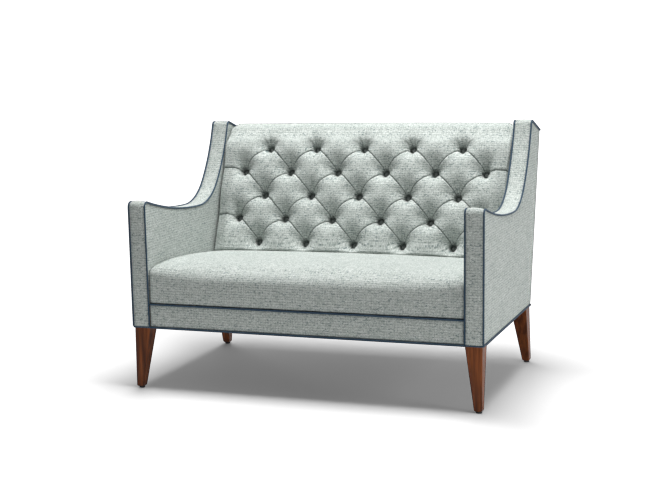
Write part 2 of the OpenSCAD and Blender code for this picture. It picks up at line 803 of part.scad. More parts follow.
// Ties: each button's twine ends behind the hessian in a knotted felt tab
module button_ties() {
    color("wheat") settle() for (p = button_places)
        translate([p.x, web_u(p.z - tie_fall, strap_front), p.z - tie_fall])
            rotate([90 - web_lean, 0, 0]) mirror([0, 0, 1]) {
                cylinder(h = strap_t, r = button_d / 2);
                cylinder(h = 2 * strap_t, r = button_d * shank_share);
            }
}

module outside_back() {
    half = face_x - panel_t;
    color(cover_colour) settle() slab(-half, half) polygon([
        [rear_u(cover_z, 0), cover_z], rear_corner(band_t, 0),
        rear_corner(band_t, panel_t), [rear_u(cover_z, panel_t), cover_z]
    ]);
}

// Arm covers

module inside_arm(side) {
    foot = rail_top + soft_gap;
    color(cover_colour) settle() hand(side) slab(inner_x, post_in_x) difference() {
        polygon(side_outline(band_t, panel_t, foot));
        behind_web(foot, hessian_front + soft_gap);
    }
}

module outside_arm(side) {
    color(cover_colour) settle() hand(side) slab(face_x - panel_t, face_x)
        polygon(side_outline(band_t, 0, cover_z));
}

// Section of the band: crowned between the pipings, with flanges under them
function band_section() =
    let (
        low = inner_x + piping_nest,
        high = face_x - piping_nest
    ) concat(
        [[-band_t, inner_x], [-piping_nest, inner_x], [-piping_nest, low]],
        [for (i = [0:crown_steps]) let (t = i / crown_steps)
            [4 * band_crown * t * (1 - t), low + (high - low) * t]],
        [[-piping_nest, high], [-piping_nest, face_x], [-band_t, face_x]]
    );

module arm_band(side) {
    color(cover_colour) settle() hand(side) edge_sweep(band_section(), cover_z, 0);
}

module arm_piping(side, x) {
    ring = [for (i = [0:piping_sides - 1]) let (a = -360 * i / piping_sides)
        [piping_r * cos(a) - piping_in, x + piping_r * sin(a)]];
    color(piping_colour) settle() hand(side) edge_sweep(ring, cover_z + soft_gap, piping_r);
}

// Piping round the foot of the body, with a short bend at each corner
module base_piping() {
    bend = piping_d;
    x = face_x - piping_in - bend;
    u0 = front_u + piping_in;
    u1 = rear_u(base_h, piping_in);
    length = u1 - u0 - 2 * bend;
    color(piping_colour) settle() translate([0, 0, base_h + piping_in]) {
        for (u = [u0, u1]) translate([-x, u, 0]) rod(2 * x);
        for (side = [-1, 1]) hand(side) {
            translate([x + bend, u0 + bend, 0]) rotate([0, 0, 90]) rod(length);
            translate([x, u0, 0]) quarter_bend(bend);
            translate([x, u1, 0]) mirror([0, 1, 0]) quarter_bend(bend);
        }
    }
}

module dust_cover() {
    half = face_x - piping_nest - soft_gap;
    u0 = front_u + piping_nest + soft_gap;
    u1 = rear_u(base_h, piping_nest + soft_gap);
    color("dimgray") settle() translate([0, 0, base_h]) linear_extrude(dust_t) difference() {
        translate([-half, u0]) square([2 * half, u1 - u0]);
        for (side = [-1, 1]) hand(side) translate([leg_in_x - soft_gap, 0]) {
            square([overall_w, front_leg_u + leg_top_w + soft_gap]);
            translate([0, rear_leg_u - soft_gap]) square([overall_w, overall_d]);
        }
    }
}

// Legs

leg_in_x = face_x - leg_set - leg_top_w;
leg_mid_x = leg_in_x + leg_top_w / 2;
front_leg_u = front_u + leg_set;
rear_leg_u = rear_u(base_h, leg_set) - leg_top_w;
// The feet's outer faces stand straight under the tops' outer faces
foot_in_x = leg_in_x + leg_top_w - leg_foot_w;
front_foot_u = front_leg_u - front_kick;
rear_foot_u = rear_leg_u + leg_top_w + rear_kick - leg_foot_w;

// Block between a lower square and an upper one, each as [x, u, z, side]
module taper(low, high) {
    points = [for (p = [low, high]) for (c = [[0, 0], [1, 0], [1, 1], [0, 1]])
        [p[0] + c.x * p[3], p[1] + c.y * p[3], p[2]]];
    polyhedron(points, [
        [0, 1, 2, 3], [7, 6, 5, 4], [0, 4, 5, 1], [1, 5, 6, 2], [2, 6, 7, 3], [3, 7, 4, 0]
    ]);
}

module leg(side, top_u, foot_u) {
    foot = [foot_in_x, foot_u, glide_h + foot_chamfer, leg_foot_w];
    color(leg_colour) settle() hand(side) difference() {
        union() {
            taper(foot, [leg_in_x, top_u, frame_z, leg_top_w]);
            taper([
                foot_in_x + foot_chamfer, foot_u + foot_chamfer, glide_h,
                leg_foot_w - 2 * foot_chamfer
            ], foot);
        }
        leg_bolt(top_u, fit_gap);
        glide_pin(foot_u, fit_gap);
    }
}

// Hanger bolt, screwed up into the insert and down into the leg
module leg_bolt(top_u, gap) {
    translate([leg_mid_x, top_u + leg_top_w / 2, frame_z + insert_l - bolt_l - gap])
        cylinder(h = bolt_l + 2 * gap, d = bolt_d + 2 * gap);
}

module glide_pin(foot_u, gap) {
    translate([foot_in_x + leg_foot_w / 2, foot_u + leg_foot_w / 2, 0])
        cylinder(h = glide_h + glide_pin_l + gap, d = glide_pin_d + 2 * gap);
}

// Threaded inserts in the feet of the right-hand posts, and their holes
module at_inserts() {
    for (top_u = [front_leg_u, rear_leg_u])
        translate([leg_mid_x, top_u + leg_top_w / 2, frame_z]) children();
}

module insert_holes() {
    at_inserts() translate([0, 0, -over])
        cylinder(h = insert_l + over + fit_gap, d = insert_d + 2 * fit_gap);
}

module leg_bolts() {
    color("silver") settle() for (side = [-1, 1]) hand(side)
        for (top_u = [front_leg_u, rear_leg_u]) leg_bolt(top_u, 0);
}

module leg_inserts() {
    color("goldenrod") settle() for (side = [-1, 1]) hand(side) at_inserts() difference() {
        cylinder(h = insert_l, d = insert_d);
        translate([0, 0, -over]) cylinder(h = insert_l + 2 * over, d = bolt_d + 2 * fit_gap);
    }
}

module leg_glides() {
    color("black") settle() for (side = [-1, 1]) hand(side)
        for (foot_u = [front_foot_u, rear_foot_u]) {
            translate([foot_in_x + leg_foot_w / 2, foot_u + leg_foot_w / 2, 0])
                cylinder(h = glide_h, d = glide_d);
            glide_pin(foot_u, 0);
        }
}

front_post(-1);  // left_front_post
front_post(1);  // right_front_post
back_post(-1);  // left_back_post
back_post(1);  // right_back_post
arm_board(-1);  // left_arm_board
arm_board(1);  // right_arm_board
side_rail(-1);  // left_side_rail
side_rail(1);  // right_side_rail
seat_rail(frame_u);  // front_seat_rail
seat_rail(rear_rail_u);  // rear_seat_rail
lower_back_rail();
top_back_rail();
centre_back_stile();
corner_blocks();
frame_dowels();
seat_springs();
spring_clips();
seat_platform();
seat_foam();
seat_cover();
front_border();
seat_piping();
back_upright_webbing();
back_level_webbing();
back_hessian();
button_ties();
inside_back();
back_buttons();
outside_back();
inside_arm(-1);  // left_inside_arm
inside_arm(1);  // right_inside_arm
outside_arm(-1);  // left_outside_arm
outside_arm(1);  // right_outside_arm
arm_band(-1);  // left_arm_band
arm_band(1);  // right_arm_band
arm_piping(-1, face_x - piping_in);  // left_outer_piping
arm_piping(1, face_x - piping_in);  // right_outer_piping
arm_piping(-1, inner_x + piping_in);  // left_inner_piping
arm_piping(1, inner_x + piping_in);  // right_inner_piping
base_piping();
dust_cover();
leg(-1, front_leg_u, front_foot_u);  // front_left_leg
leg(1, front_leg_u, front_foot_u);  // front_right_leg
leg(-1, rear_leg_u, rear_foot_u);  // rear_left_leg
leg(1, rear_leg_u, rear_foot_u);  // rear_right_leg
leg_bolts();
leg_inserts();
leg_glides();
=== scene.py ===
import json
import math
import bpy
import bmesh
import numpy as np
from mathutils import Matrix, Vector


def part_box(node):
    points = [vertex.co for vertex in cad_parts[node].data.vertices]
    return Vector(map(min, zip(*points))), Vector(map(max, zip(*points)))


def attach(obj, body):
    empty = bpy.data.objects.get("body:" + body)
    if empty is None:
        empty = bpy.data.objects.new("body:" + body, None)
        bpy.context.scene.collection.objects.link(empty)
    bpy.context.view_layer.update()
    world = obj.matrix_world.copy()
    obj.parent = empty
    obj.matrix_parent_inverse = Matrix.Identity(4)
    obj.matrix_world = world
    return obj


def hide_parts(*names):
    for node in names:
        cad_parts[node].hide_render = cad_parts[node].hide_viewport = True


# High back settee: covers, piping, buttons and legs, made over the timber frame.
# Side outlines are [distance back from the front, height], all in metres.

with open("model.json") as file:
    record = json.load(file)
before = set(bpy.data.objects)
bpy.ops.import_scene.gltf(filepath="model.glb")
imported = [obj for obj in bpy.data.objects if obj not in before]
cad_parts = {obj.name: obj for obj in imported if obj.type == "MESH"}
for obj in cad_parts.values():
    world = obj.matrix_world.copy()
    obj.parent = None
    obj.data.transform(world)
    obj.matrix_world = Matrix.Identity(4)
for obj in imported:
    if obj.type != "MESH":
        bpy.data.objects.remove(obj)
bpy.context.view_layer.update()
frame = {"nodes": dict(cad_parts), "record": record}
print("settee: frame loaded,", len(frame["nodes"]), "nodes")

settee = {
    "width": 1.270, "depth": 0.902, "height": 0.905, "base": 0.222,
    "armThick": 0.064, "armFront": 0.667, "scoopHeight": 0.607, "scoopRadius": 0.215,
    "scoopTurn": 50.0, "sweepRadius": 0.614, "armCorner": 0.018, "wingCorner": 0.016,
    "wingTop": 0.1615, "wingFall": 16.5, "rearLean": 12.5, "bandCrown": 0.0019,
    "pipeRadius": 0.003, "pipeProud": 0.002, "bandThick": 0.012, "panelThick": 0.005,
    "armPad": 0.014, "gap": 0.0003, "frontSteps": 40, "topSteps": 15,
}
halfDepth = settee["depth"] / 2
frontU = settee["pipeProud"]
pipeNest = 2 * settee["pipeRadius"] - settee["pipeProud"]
pipeIn = pipeNest - settee["pipeRadius"]
faceX = settee["width"] / 2 - settee["pipeProud"]
innerX = faceX - settee["armThick"]
coverFoot = settee["base"] + pipeNest
wingFall = math.radians(settee["wingFall"])
rearLean = math.radians(settee["rearLean"])


# outline of an arm and its wing, the same as in the part's own source

def arcPoints(centre, radius, startAngle, endAngle, steps, first=0):  # angles in degrees
    angles = np.radians(np.linspace(startAngle, endAngle, steps + 1)[first:])
    return np.c_[centre[0] + radius * np.cos(angles), centre[1] + radius * np.sin(angles)]


def outlineArcs():
    s = settee
    armCorner = (frontU + s["armCorner"], s["armFront"] - s["armCorner"])
    wingCorner = (s["depth"] - s["wingTop"] + s["wingCorner"],
                  s["height"] - s["pipeProud"] - s["wingCorner"])
    reach = s["sweepRadius"] + s["wingCorner"]
    turn = math.radians(s["scoopTurn"])
    grow = s["sweepRadius"] - s["scoopRadius"]
    sweepZ = s["scoopHeight"] + s["scoopRadius"] + grow * math.cos(turn)
    sweepTurn = math.acos((sweepZ - wingCorner[1]) / reach)
    sweep = (wingCorner[0] - reach * math.sin(sweepTurn), sweepZ)
    scoop = (sweep[0] + grow * math.sin(turn), sweepZ - grow * math.cos(turn))
    run, fall = scoop[0] - armCorner[0], armCorner[1] - s["scoopHeight"]
    sagRadius = (run ** 2 + fall ** 2 - s["armCorner"] ** 2) / (2 * (fall + s["armCorner"]))
    sagTurn = math.degrees(math.asin(run / (sagRadius + s["armCorner"])))
    return {
        "armCorner": armCorner, "wingCorner": wingCorner, "sweep": sweep, "scoop": scoop,
        "sag": (scoop[0], s["scoopHeight"] + sagRadius), "sagRadius": sagRadius,
        "sagTurn": sagTurn, "sweepTurn": math.degrees(sweepTurn),
    }


arcs = outlineArcs()


def edgePoints(inset):
    a, s = arcs, settee
    return np.vstack([
        arcPoints(a["armCorner"], s["armCorner"] - inset, 180, 90 - a["sagTurn"], 12),
        arcPoints(a["sag"], a["sagRadius"] + inset, -90 - a["sagTurn"], -90, 48, 1),
        arcPoints(a["scoop"], s["scoopRadius"] + inset, -90, s["scoopTurn"] - 90, 30, 1),
        arcPoints(a["sweep"], s["sweepRadius"] + inset, s["scoopTurn"] - 90, a["sweepTurn"] - 90, 30, 1),
        arcPoints(a["wingCorner"], s["wingCorner"] - inset, a["sweepTurn"] + 90, 90 - s["wingFall"], 12, 1),
    ])


wingRun = np.array(arcs["wingCorner"]) + settee["wingCorner"] * np.array([math.sin(wingFall), math.cos(wingFall)])
rearTopU = settee["depth"] - settee["bandCrown"] * math.sin(rearLean) / math.cos(wingFall - rearLean)
rearTop = np.array([rearTopU, wingRun[1] - (rearTopU - wingRun[0]) * math.tan(wingFall)])


def rearCorner(inset, rearInset):
    step = [-inset * math.sin(rearLean) - rearInset * math.cos(wingFall),
            rearInset * math.sin(wingFall) - inset * math.cos(rearLean)]
    return rearTop + np.array(step) / math.cos(wingFall - rearLean)


def rearLine(z, rearInset=0.0):
    corner = rearCorner(0, rearInset)
    return corner[0] - (corner[1] - z) * math.tan(rearLean)


def edgeLine(inset, foot, rearInset):
    # edge of the arm from its foot at the front, over the scoop and the wing, to the rear
    points = edgePoints(inset)
    rise = np.linspace(foot, points[0][1], settee["frontSteps"])[:-1]
    front = np.c_[np.full(len(rise), frontU + inset), rise]
    end = rearCorner(inset, rearInset)
    top = np.linspace(0, 1, settee["topSteps"])[1:, None] * (end - points[-1]) + points[-1]
    return np.vstack([front, points, top])


# meshes

def layWeave(mesh, uvs):
    # the weave's own map, from one place on the cloth for each point
    layer = mesh.uv_layers.get("weave") or mesh.uv_layers.new(name="weave")
    corners = np.empty(len(mesh.loops), dtype=np.int32)
    mesh.loops.foreach_get("vertex_index", corners)
    layer.data.foreach_set("uv", np.asarray(uvs, dtype=np.float32)[corners].ravel())


def makePiece(name, points, faces, finish, uvs=None):
    mesh = bpy.data.meshes.new(name)
    mesh.from_pydata(np.asarray(points, dtype=float).tolist(), [], faces)
    if uvs is not None:
        layWeave(mesh, uvs)
    mesh.polygons.foreach_set("use_smooth", [True] * len(mesh.polygons))
    mesh.materials.append(finish)
    mesh.update()
    piece = bpy.data.objects.new(name, mesh)
    bpy.context.scene.collection.objects.link(piece)
    return piece


def faceOutwards(piece):
    work = bmesh.new()
    work.from_mesh(piece.data)
    bmesh.ops.remove_doubles(work, verts=work.verts, dist=1e-6)
    bmesh.ops.recalc_face_normals(work, faces=work.faces)
    work.to_mesh(piece.data)
    work.free()
    piece.data.update()


def gridFaces(wide, tall, start=0, flip=False):
    i, j = np.meshgrid(np.arange(wide - 1), np.arange(tall - 1), indexing="ij")
    a = (start + i * tall + j).ravel()
    quads = np.c_[a, a + tall, a + tall + 1, a + 1]
    return (quads[:, ::-1] if flip else quads).tolist()


def loopFaces(wide, tall):
    # each row of the grid is a closed loop, and both ends are capped
    faces = gridFaces(wide, tall)
    faces += [[i * tall, i * tall + tall - 1, (i + 1) * tall + tall - 1, (i + 1) * tall]
              for i in range(wide - 1)]
    return faces + [list(range(tall)), [(wide - 1) * tall + j for j in range(tall - 1, -1, -1)]]


def closedPad(name, face, back, finish, uvs):
    # solid between two grids of the same shape, [across, along, xyz]
    wide, tall = face.shape[:2]
    count = wide * tall
    faces = gridFaces(wide, tall) + gridFaces(wide, tall, count, True)
    ring = [i * tall for i in range(wide)] + [(wide - 1) * tall + j for j in range(1, tall)]
    ring += [i * tall + tall - 1 for i in range(wide - 2, -1, -1)] + list(range(tall - 2, 0, -1))
    for a, b in zip(ring, ring[1:] + ring[:1]):
        faces.append([b, a, a + count, b + count])
    points = np.vstack([face.reshape(-1, 3), back.reshape(-1, 3)])
    piece = makePiece(name, points, faces, finish, np.tile(uvs.reshape(-1, 2), (2, 1)))
    faceOutwards(piece)
    return piece


def toRow(across, back, up):
    return np.stack([across, back - halfDepth, up], axis=-1)


def seededNoise(shape, seed, blur):
    # smooth noise from -1 to 1 on a grid
    field = np.random.default_rng(seed).standard_normal(shape)
    for axis, width in enumerate(blur):
        kernel = np.exp(-0.5 * (np.arange(-3 * width, 3 * width + 1) / width) ** 2)
        field = np.apply_along_axis(
            lambda line: np.convolve(np.pad(line, 3 * width, mode="reflect"), kernel / kernel.sum(), "valid"),
            axis, field)
    return field / np.abs(field).max()


# shader groups and finishes

def newGroup(name, inputs, outputs):
    tree = bpy.data.node_groups.new(name, "ShaderNodeTree")
    for label, kind, value in inputs:
        socket = tree.interface.new_socket(name=label, in_out="INPUT", socket_type=kind)
        if value is not None:
            socket.default_value = value
    for label, kind in outputs:
        tree.interface.new_socket(name=label, in_out="OUTPUT", socket_type=kind)
    return tree, tree.nodes.new("NodeGroupInput"), tree.nodes.new("NodeGroupOutput")


def plug(tree, socket, value):
    if value is None:
        return
    if hasattr(value, "is_output"):
        tree.links.new(value, socket)
    else:
        socket.default_value = value


def mathNode(tree, kind, a, b=None, c=None, clamp=False):
    node = tree.nodes.new("ShaderNodeMath")
    node.operation, node.use_clamp = kind, clamp
    for socket, value in zip(node.inputs, (a, b, c)):
        plug(tree, socket, value)
    return node.outputs[0]


def mixColour(tree, share, a, b, kind="MIX"):
    node = tree.nodes.new("ShaderNodeMix")
    node.data_type, node.blend_type, node.clamp_factor = "RGBA", kind, True
    for socket, value in zip((node.inputs[0], node.inputs[6], node.inputs[7]), (share, a, b)):
        plug(tree, socket, value)
    return node.outputs[2]


def mixValue(tree, share, a, b):
    node = tree.nodes.new("ShaderNodeMix")
    for socket, value in zip((node.inputs[0], node.inputs[2], node.inputs[3]), (share, a, b)):
        plug(tree, socket, value)
    return node.outputs[0]


def noiseAt(tree, place, scale, detail=2.0, rough=0.5, axes=(1, 1, 1)):
    # noise with its own stretch along each axis
    stretch = tree.nodes.new("ShaderNodeVectorMath")
    stretch.operation = "MULTIPLY"
    plug(tree, stretch.inputs[0], place)
    plug(tree, stretch.inputs[1], axes)
    node = tree.nodes.new("ShaderNodeTexNoise")
    plug(tree, node.inputs["Vector"], stretch.outputs[0])
    plug(tree, node.inputs["Scale"], scale)
    plug(tree, node.inputs["Detail"], detail)
    plug(tree, node.inputs["Roughness"], rough)
    return node.outputs["Fac"]


def spread(tree, value, low, high, toLow=0.0, toHigh=1.0):
    node = tree.nodes.new("ShaderNodeMapRange")
    for socket, number in zip(node.inputs, (value, low, high, toLow, toHigh)):
        plug(tree, socket, number)
    return node.outputs[0]


def sums(tree):
    # plus, minus and times for one tree
    def step(kind):
        return lambda a, b, clamp=False: mathNode(tree, kind, a, b, clamp=clamp)
    return step("ADD"), step("SUBTRACT"), step("MULTIPLY")


def joined(tree, *values):
    node = tree.nodes.new("ShaderNodeCombineXYZ")
    for socket, value in zip(node.inputs, values):
        plug(tree, socket, value)
    return node.outputs[0]


def scaledBy(tree, place, factor):
    node = tree.nodes.new("ShaderNodeVectorMath")
    node.operation = "SCALE"
    plug(tree, node.inputs[0], place)
    plug(tree, node.inputs["Scale"], factor)
    return node.outputs[0]


def diceAt(tree, *cell):
    # one random value for each cell of a grid
    node = tree.nodes.new("ShaderNodeTexWhiteNoise")
    node.noise_dimensions = "2D"
    plug(tree, node.inputs["Vector"], joined(tree, *cell))
    return node.outputs["Value"]


surfaceOutputs = [("Colour", "NodeSocketColor"), ("Height", "NodeSocketFloat"), ("Roughness", "NodeSocketFloat")]
weave = {
    "slubLength": 0.12, "slubStep": 3.73, "slubSeed": 7.0, "slubRough": 0.65, "warpSlub": 0.15,
    "darkEvery": 3.0, "darkWarp": 0.4, "drift": 0.10, "driftScale": (9, 14, 1), "warpShare": 0.14,
    # the last two colours darken the cloth: painted shade between the threads, and painted shade in the pleats
    "middle": 0.46, "fleckDepth": 0.55, "hollow": (0.72, 0.74, 0.75, 1), "foldAndPaintedShade": (0.16, 0.19, 0.18, 1),
    "rough": 0.93, "roughFall": 0.12, "threadHeight": 0.8, "slubHeight": 0.4,
    "sheenRough": 0.5, "specular": 0.25,
}


def wovenClothGroup():
    tree, given, made = newGroup("wovenCloth", [
        ("Place", "NodeSocketVector", None), ("Thread Pitch", "NodeSocketFloat", 0.002),
        ("Warp Colour", "NodeSocketColor", (0.6, 0.66, 0.64, 1)),
        ("Weft Colour", "NodeSocketColor", (0.4, 0.46, 0.45, 1)),
        ("Fleck Colour", "NodeSocketColor", (0.2, 0.3, 0.35, 1)), ("Fleck Share", "NodeSocketFloat", 0.2),
        ("Slub", "NodeSocketFloat", 0.3), ("Mottle", "NodeSocketFloat", 0.2),
        ("Painted Shade", "NodeSocketFloat", 0.0), ("Stripe", "NodeSocketFloat", 0.2),
    ], surfaceOutputs)
    plus, minus, times = sums(tree)
    inputs = given.outputs
    parts = tree.nodes.new("ShaderNodeSeparateXYZ")
    perMetre = mathNode(tree, "DIVIDE", 1.0, inputs["Thread Pitch"])
    tree.links.new(scaledBy(tree, inputs["Place"], perMetre), parts.inputs[0])
    across, along = parts.outputs[0], parts.outputs[1]
    column, row = mathNode(tree, "FLOOR", across), mathNode(tree, "FLOOR", along)
    # plain weave: warp and weft come up in turn
    warpUp = mathNode(tree, "FLOORED_MODULO", plus(row, column), 2.0)
    warpRise, weftRise = [
        mathNode(tree, "SINE", times(mathNode(tree, "FRACT", way), math.pi)) for way in (across, along)]
    rise = mixValue(tree, warpUp, weftRise, warpRise)
    # slubs: every thread swells and pales along its own length
    weftSlub, warpSlub = [
        noiseAt(tree, joined(tree, times(length, weave["slubLength"]), times(thread, weave["slubStep"]), seed),
                1.0, 2.0, weave["slubRough"])
        for length, thread, seed in ((across, row, 0.0), (along, column, weave["slubSeed"]))]
    slub = mixValue(tree, times(warpUp, weave["warpSlub"]), weftSlub, warpSlub)
    # one thread in three is dark, the warp less so
    darkWarp, darkWeft = [
        mathNode(tree, "LESS_THAN", mathNode(tree, "FLOORED_MODULO", thread, weave["darkEvery"]), 1.0)
        for thread in (column, row)]
    stripes = plus(times(darkWarp, times(inputs["Stripe"], weave["darkWarp"])), times(darkWeft, inputs["Stripe"]))
    crossing = diceAt(tree, column, row)
    drift = noiseAt(tree, inputs["Place"], 1.0, 2.0, 0.5, weave["driftScale"])
    shade = plus(times(minus(slub, 0.5), inputs["Slub"]), times(minus(crossing, 0.5), inputs["Mottle"]))
    shade = minus(plus(shade, times(minus(drift, 0.5), weave["drift"])), stripes)
    share = plus(times(warpUp, weave["warpShare"]), plus(weave["middle"], shade), clamp=True)
    colour = mixColour(tree, share, inputs["Weft Colour"], inputs["Warp Colour"])
    pair = mathNode(tree, "FLOOR", mathNode(tree, "DIVIDE", column, 2.0))
    fleck = mathNode(tree, "LESS_THAN", diceAt(tree, pair, row), inputs["Fleck Share"])
    colour = mixColour(tree, times(fleck, weave["fleckDepth"]), colour, inputs["Fleck Colour"])
    # threads shade one another in the hollows between them
    hollow = mixColour(tree, rise, weave["hollow"], (1.0, 1.0, 1.0, 1))
    colour = mixColour(tree, 1.0, colour, hollow, "MULTIPLY")
    # painted shade: the colour is darkened along the pleats and round the buttons by the attribute
    paintedShadeColour = mixColour(tree, 1.0, colour, weave["foldAndPaintedShade"], "MULTIPLY")
    plug(tree, made.inputs["Colour"], mixColour(tree, inputs["Painted Shade"], colour, paintedShadeColour))
    height = plus(times(rise, weave["threadHeight"]), times(slub, weave["slubHeight"]))
    plug(tree, made.inputs["Height"], height)
    plug(tree, made.inputs["Roughness"], minus(weave["rough"], times(rise, weave["roughFall"])))
    return tree


grain = {
    "sway": (9, 9, 2.5), "bands": (95, 95, 4), "pores": (900, 900, 26), "poreDepth": 0.45, "roughSpread": 0.25,
    "bandHeight": 0.2, "poreHeight": 0.6, "bump": 0.25, "depth": 0.0004, "coatRough": 0.25,
}


def grainGroup():
    tree, given, made = newGroup("timberGrain", [
        ("Place", "NodeSocketVector", None), ("Light Wood", "NodeSocketColor", (0.3, 0.12, 0.05, 1)),
        ("Dark Wood", "NodeSocketColor", (0.08, 0.03, 0.015, 1)), ("Grain Scale", "NodeSocketFloat", 1.0),
        ("Figure", "NodeSocketFloat", 0.5), ("Gloss", "NodeSocketFloat", 0.4),
    ], surfaceOutputs)
    plus, minus, times = sums(tree)
    inputs = given.outputs
    place = scaledBy(tree, inputs["Place"], inputs["Grain Scale"])
    sway = noiseAt(tree, place, 1.0, 2.0, 0.5, grain["sway"])
    bands = noiseAt(tree, place, 1.0, 3.0, 0.6, grain["bands"])
    pores = noiseAt(tree, place, 1.0, 1.0, 0.5, grain["pores"])
    share = spread(tree, plus(bands, times(minus(sway, 0.5), inputs["Figure"])), 0.34, 0.66)
    colour = mixColour(tree, share, inputs["Dark Wood"], inputs["Light Wood"])
    pore = spread(tree, pores, 0.60, 0.72)
    colour = mixColour(tree, times(pore, grain["poreDepth"]), colour, inputs["Dark Wood"])
    plug(tree, made.inputs["Colour"], colour)
    height = minus(times(share, grain["bandHeight"]), times(pore, grain["poreHeight"]))
    plug(tree, made.inputs["Height"], height)
    plug(tree, made.inputs["Roughness"], plus(inputs["Gloss"], times(minus(bands, 0.5), grain["roughSpread"])))
    return tree


speckle = {
    "detail": 3.0, "noiseRough": 0.6, "roughSpread": 0.08, "bump": 0.2, "depth": 0.0003, "axes": (1, 1, 1), "metal": 0.0,
}


def speckleGroup():
    # fine uneven surface of plain moulded, drawn or turned stuff
    tree, given, made = newGroup("fineSpeckle", [
        ("Place", "NodeSocketVector", None), ("Scale", "NodeSocketFloat", 300.0),
        ("Stretch", "NodeSocketVector", (1, 1, 1)), ("Light Speck", "NodeSocketColor", (0.6, 0.6, 0.6, 1)),
        ("Dark Speck", "NodeSocketColor", (0.4, 0.4, 0.4, 1)), ("Gloss", "NodeSocketFloat", 0.5),
    ], surfaceOutputs)
    plus, minus = sums(tree)[:2]
    inputs = given.outputs
    specks = noiseAt(tree, inputs["Place"], inputs["Scale"],
                     speckle["detail"], speckle["noiseRough"], inputs["Stretch"])
    share = spread(tree, specks, 0.35, 0.65)
    plug(tree, made.inputs["Colour"], mixColour(tree, share, inputs["Dark Speck"], inputs["Light Speck"]))
    plug(tree, made.inputs["Height"], specks)
    low, high = minus(inputs["Gloss"], speckle["roughSpread"]), plus(inputs["Gloss"], speckle["roughSpread"])
    plug(tree, made.inputs["Roughness"], spread(tree, specks, 0.3, 0.7, low, high))
    return tree


def newFinish(name):
    finish = bpy.data.materials.new(name)
    finish.use_nodes = True
    tree = finish.node_tree
    return finish, tree, tree.nodes["Principled BSDF"]


def objectPlace(tree):
    return tree.nodes.new("ShaderNodeTexCoord").outputs["Object"]


def bumpFrom(tree, shader, height, strength, distance):
    bump = tree.nodes.new("ShaderNodeBump")
    bump.inputs["Strength"].default_value = strength
    bump.inputs["Distance"].default_value = distance
    tree.links.new(height, bump.inputs["Height"])
    tree.links.new(bump.outputs[0], shader.inputs["Normal"])


clothGroup, woodGroup, speckleTree = wovenClothGroup(), grainGroup(), speckleGroup()


def groupIn(tree, shader, group, look, numbers, colours):
    # the group placed in a material with that material's own values
    node = tree.nodes.new("ShaderNodeGroup")
    node.node_tree = group
    for label, key in numbers:
        node.inputs[label].default_value = look[key]
    for label, key in colours:
        node.inputs[label].default_value = (*look[key], 1)
    tree.links.new(node.outputs["Colour"], shader.inputs["Base Color"])
    tree.links.new(node.outputs["Roughness"], shader.inputs["Roughness"])
    return node


def clothFinish(name, look, mapName="weave", paintedShadeMap=None):
    finish, tree, shader = newFinish(name)
    group = groupIn(tree, shader, clothGroup, look, (
        ("Thread Pitch", "pitch"), ("Fleck Share", "flecks"), ("Slub", "slub"), ("Mottle", "mottle"),
        ("Stripe", "stripe")), (("Warp Colour", "warp"), ("Weft Colour", "weft"), ("Fleck Colour", "fleck")))
    if mapName:
        place = tree.nodes.new("ShaderNodeUVMap")
        place.uv_map = mapName
        tree.links.new(place.outputs[0], group.inputs["Place"])
    else:
        tree.links.new(objectPlace(tree), group.inputs["Place"])
    # the attribute says where painted shade darkens the cloth, along the pleats and round the buttons
    if paintedShadeMap:
        foldAndPaintedShade = tree.nodes.new("ShaderNodeAttribute")
        foldAndPaintedShade.attribute_name = paintedShadeMap
        tree.links.new(foldAndPaintedShade.outputs["Fac"], group.inputs["Painted Shade"])
    bumpFrom(tree, shader, group.outputs["Height"], look["bump"], look["depth"])
    shader.inputs["Sheen Weight"].default_value = look["sheen"]
    shader.inputs["Sheen Roughness"].default_value = weave["sheenRough"]
    shader.inputs["Specular IOR Level"].default_value = weave["specular"]
    return finish


def woodFinish(name, look):
    finish, tree, shader = newFinish(name)
    group = groupIn(tree, shader, woodGroup, look, (
        ("Grain Scale", "scale"), ("Figure", "figure"), ("Gloss", "gloss")),
        (("Light Wood", "light"), ("Dark Wood", "dark")))
    turn = tree.nodes.new("ShaderNodeMapping")
    turn.inputs["Rotation"].default_value = look["turn"]
    tree.links.new(objectPlace(tree), turn.inputs["Vector"])
    tree.links.new(turn.outputs[0], group.inputs["Place"])
    bumpFrom(tree, shader, group.outputs["Height"], grain["bump"], grain["depth"])
    shader.inputs["Specular IOR Level"].default_value = look["specular"]
    shader.inputs["Coat Weight"].default_value = look["coat"]
    shader.inputs["Coat Roughness"].default_value = grain["coatRough"]
    return finish


def speckledFinish(name, look):
    look = {**speckle, **look}
    finish, tree, shader = newFinish(name)
    group = groupIn(tree, shader, speckleTree, look, (("Scale", "scale"), ("Stretch", "axes"), ("Gloss", "rough")),
                    (("Light Speck", "light"), ("Dark Speck", "dark")))
    tree.links.new(objectPlace(tree), group.inputs["Place"])
    bumpFrom(tree, shader, group.outputs["Height"], look["bump"], look["depth"])
    shader.inputs["Metallic"].default_value = look["metal"]
    return finish


coverLook = {
    "pitch": 0.0030, "warp": (0.835, 0.865, 0.83), "weft": (0.165, 0.207, 0.186), "fleck": (0.06, 0.11, 0.12),
    "flecks": 0.05, "slub": 0.60, "mottle": 0.42, "stripe": 0.16, "bump": 0.5, "depth": 0.0008, "sheen": 0.08,
}
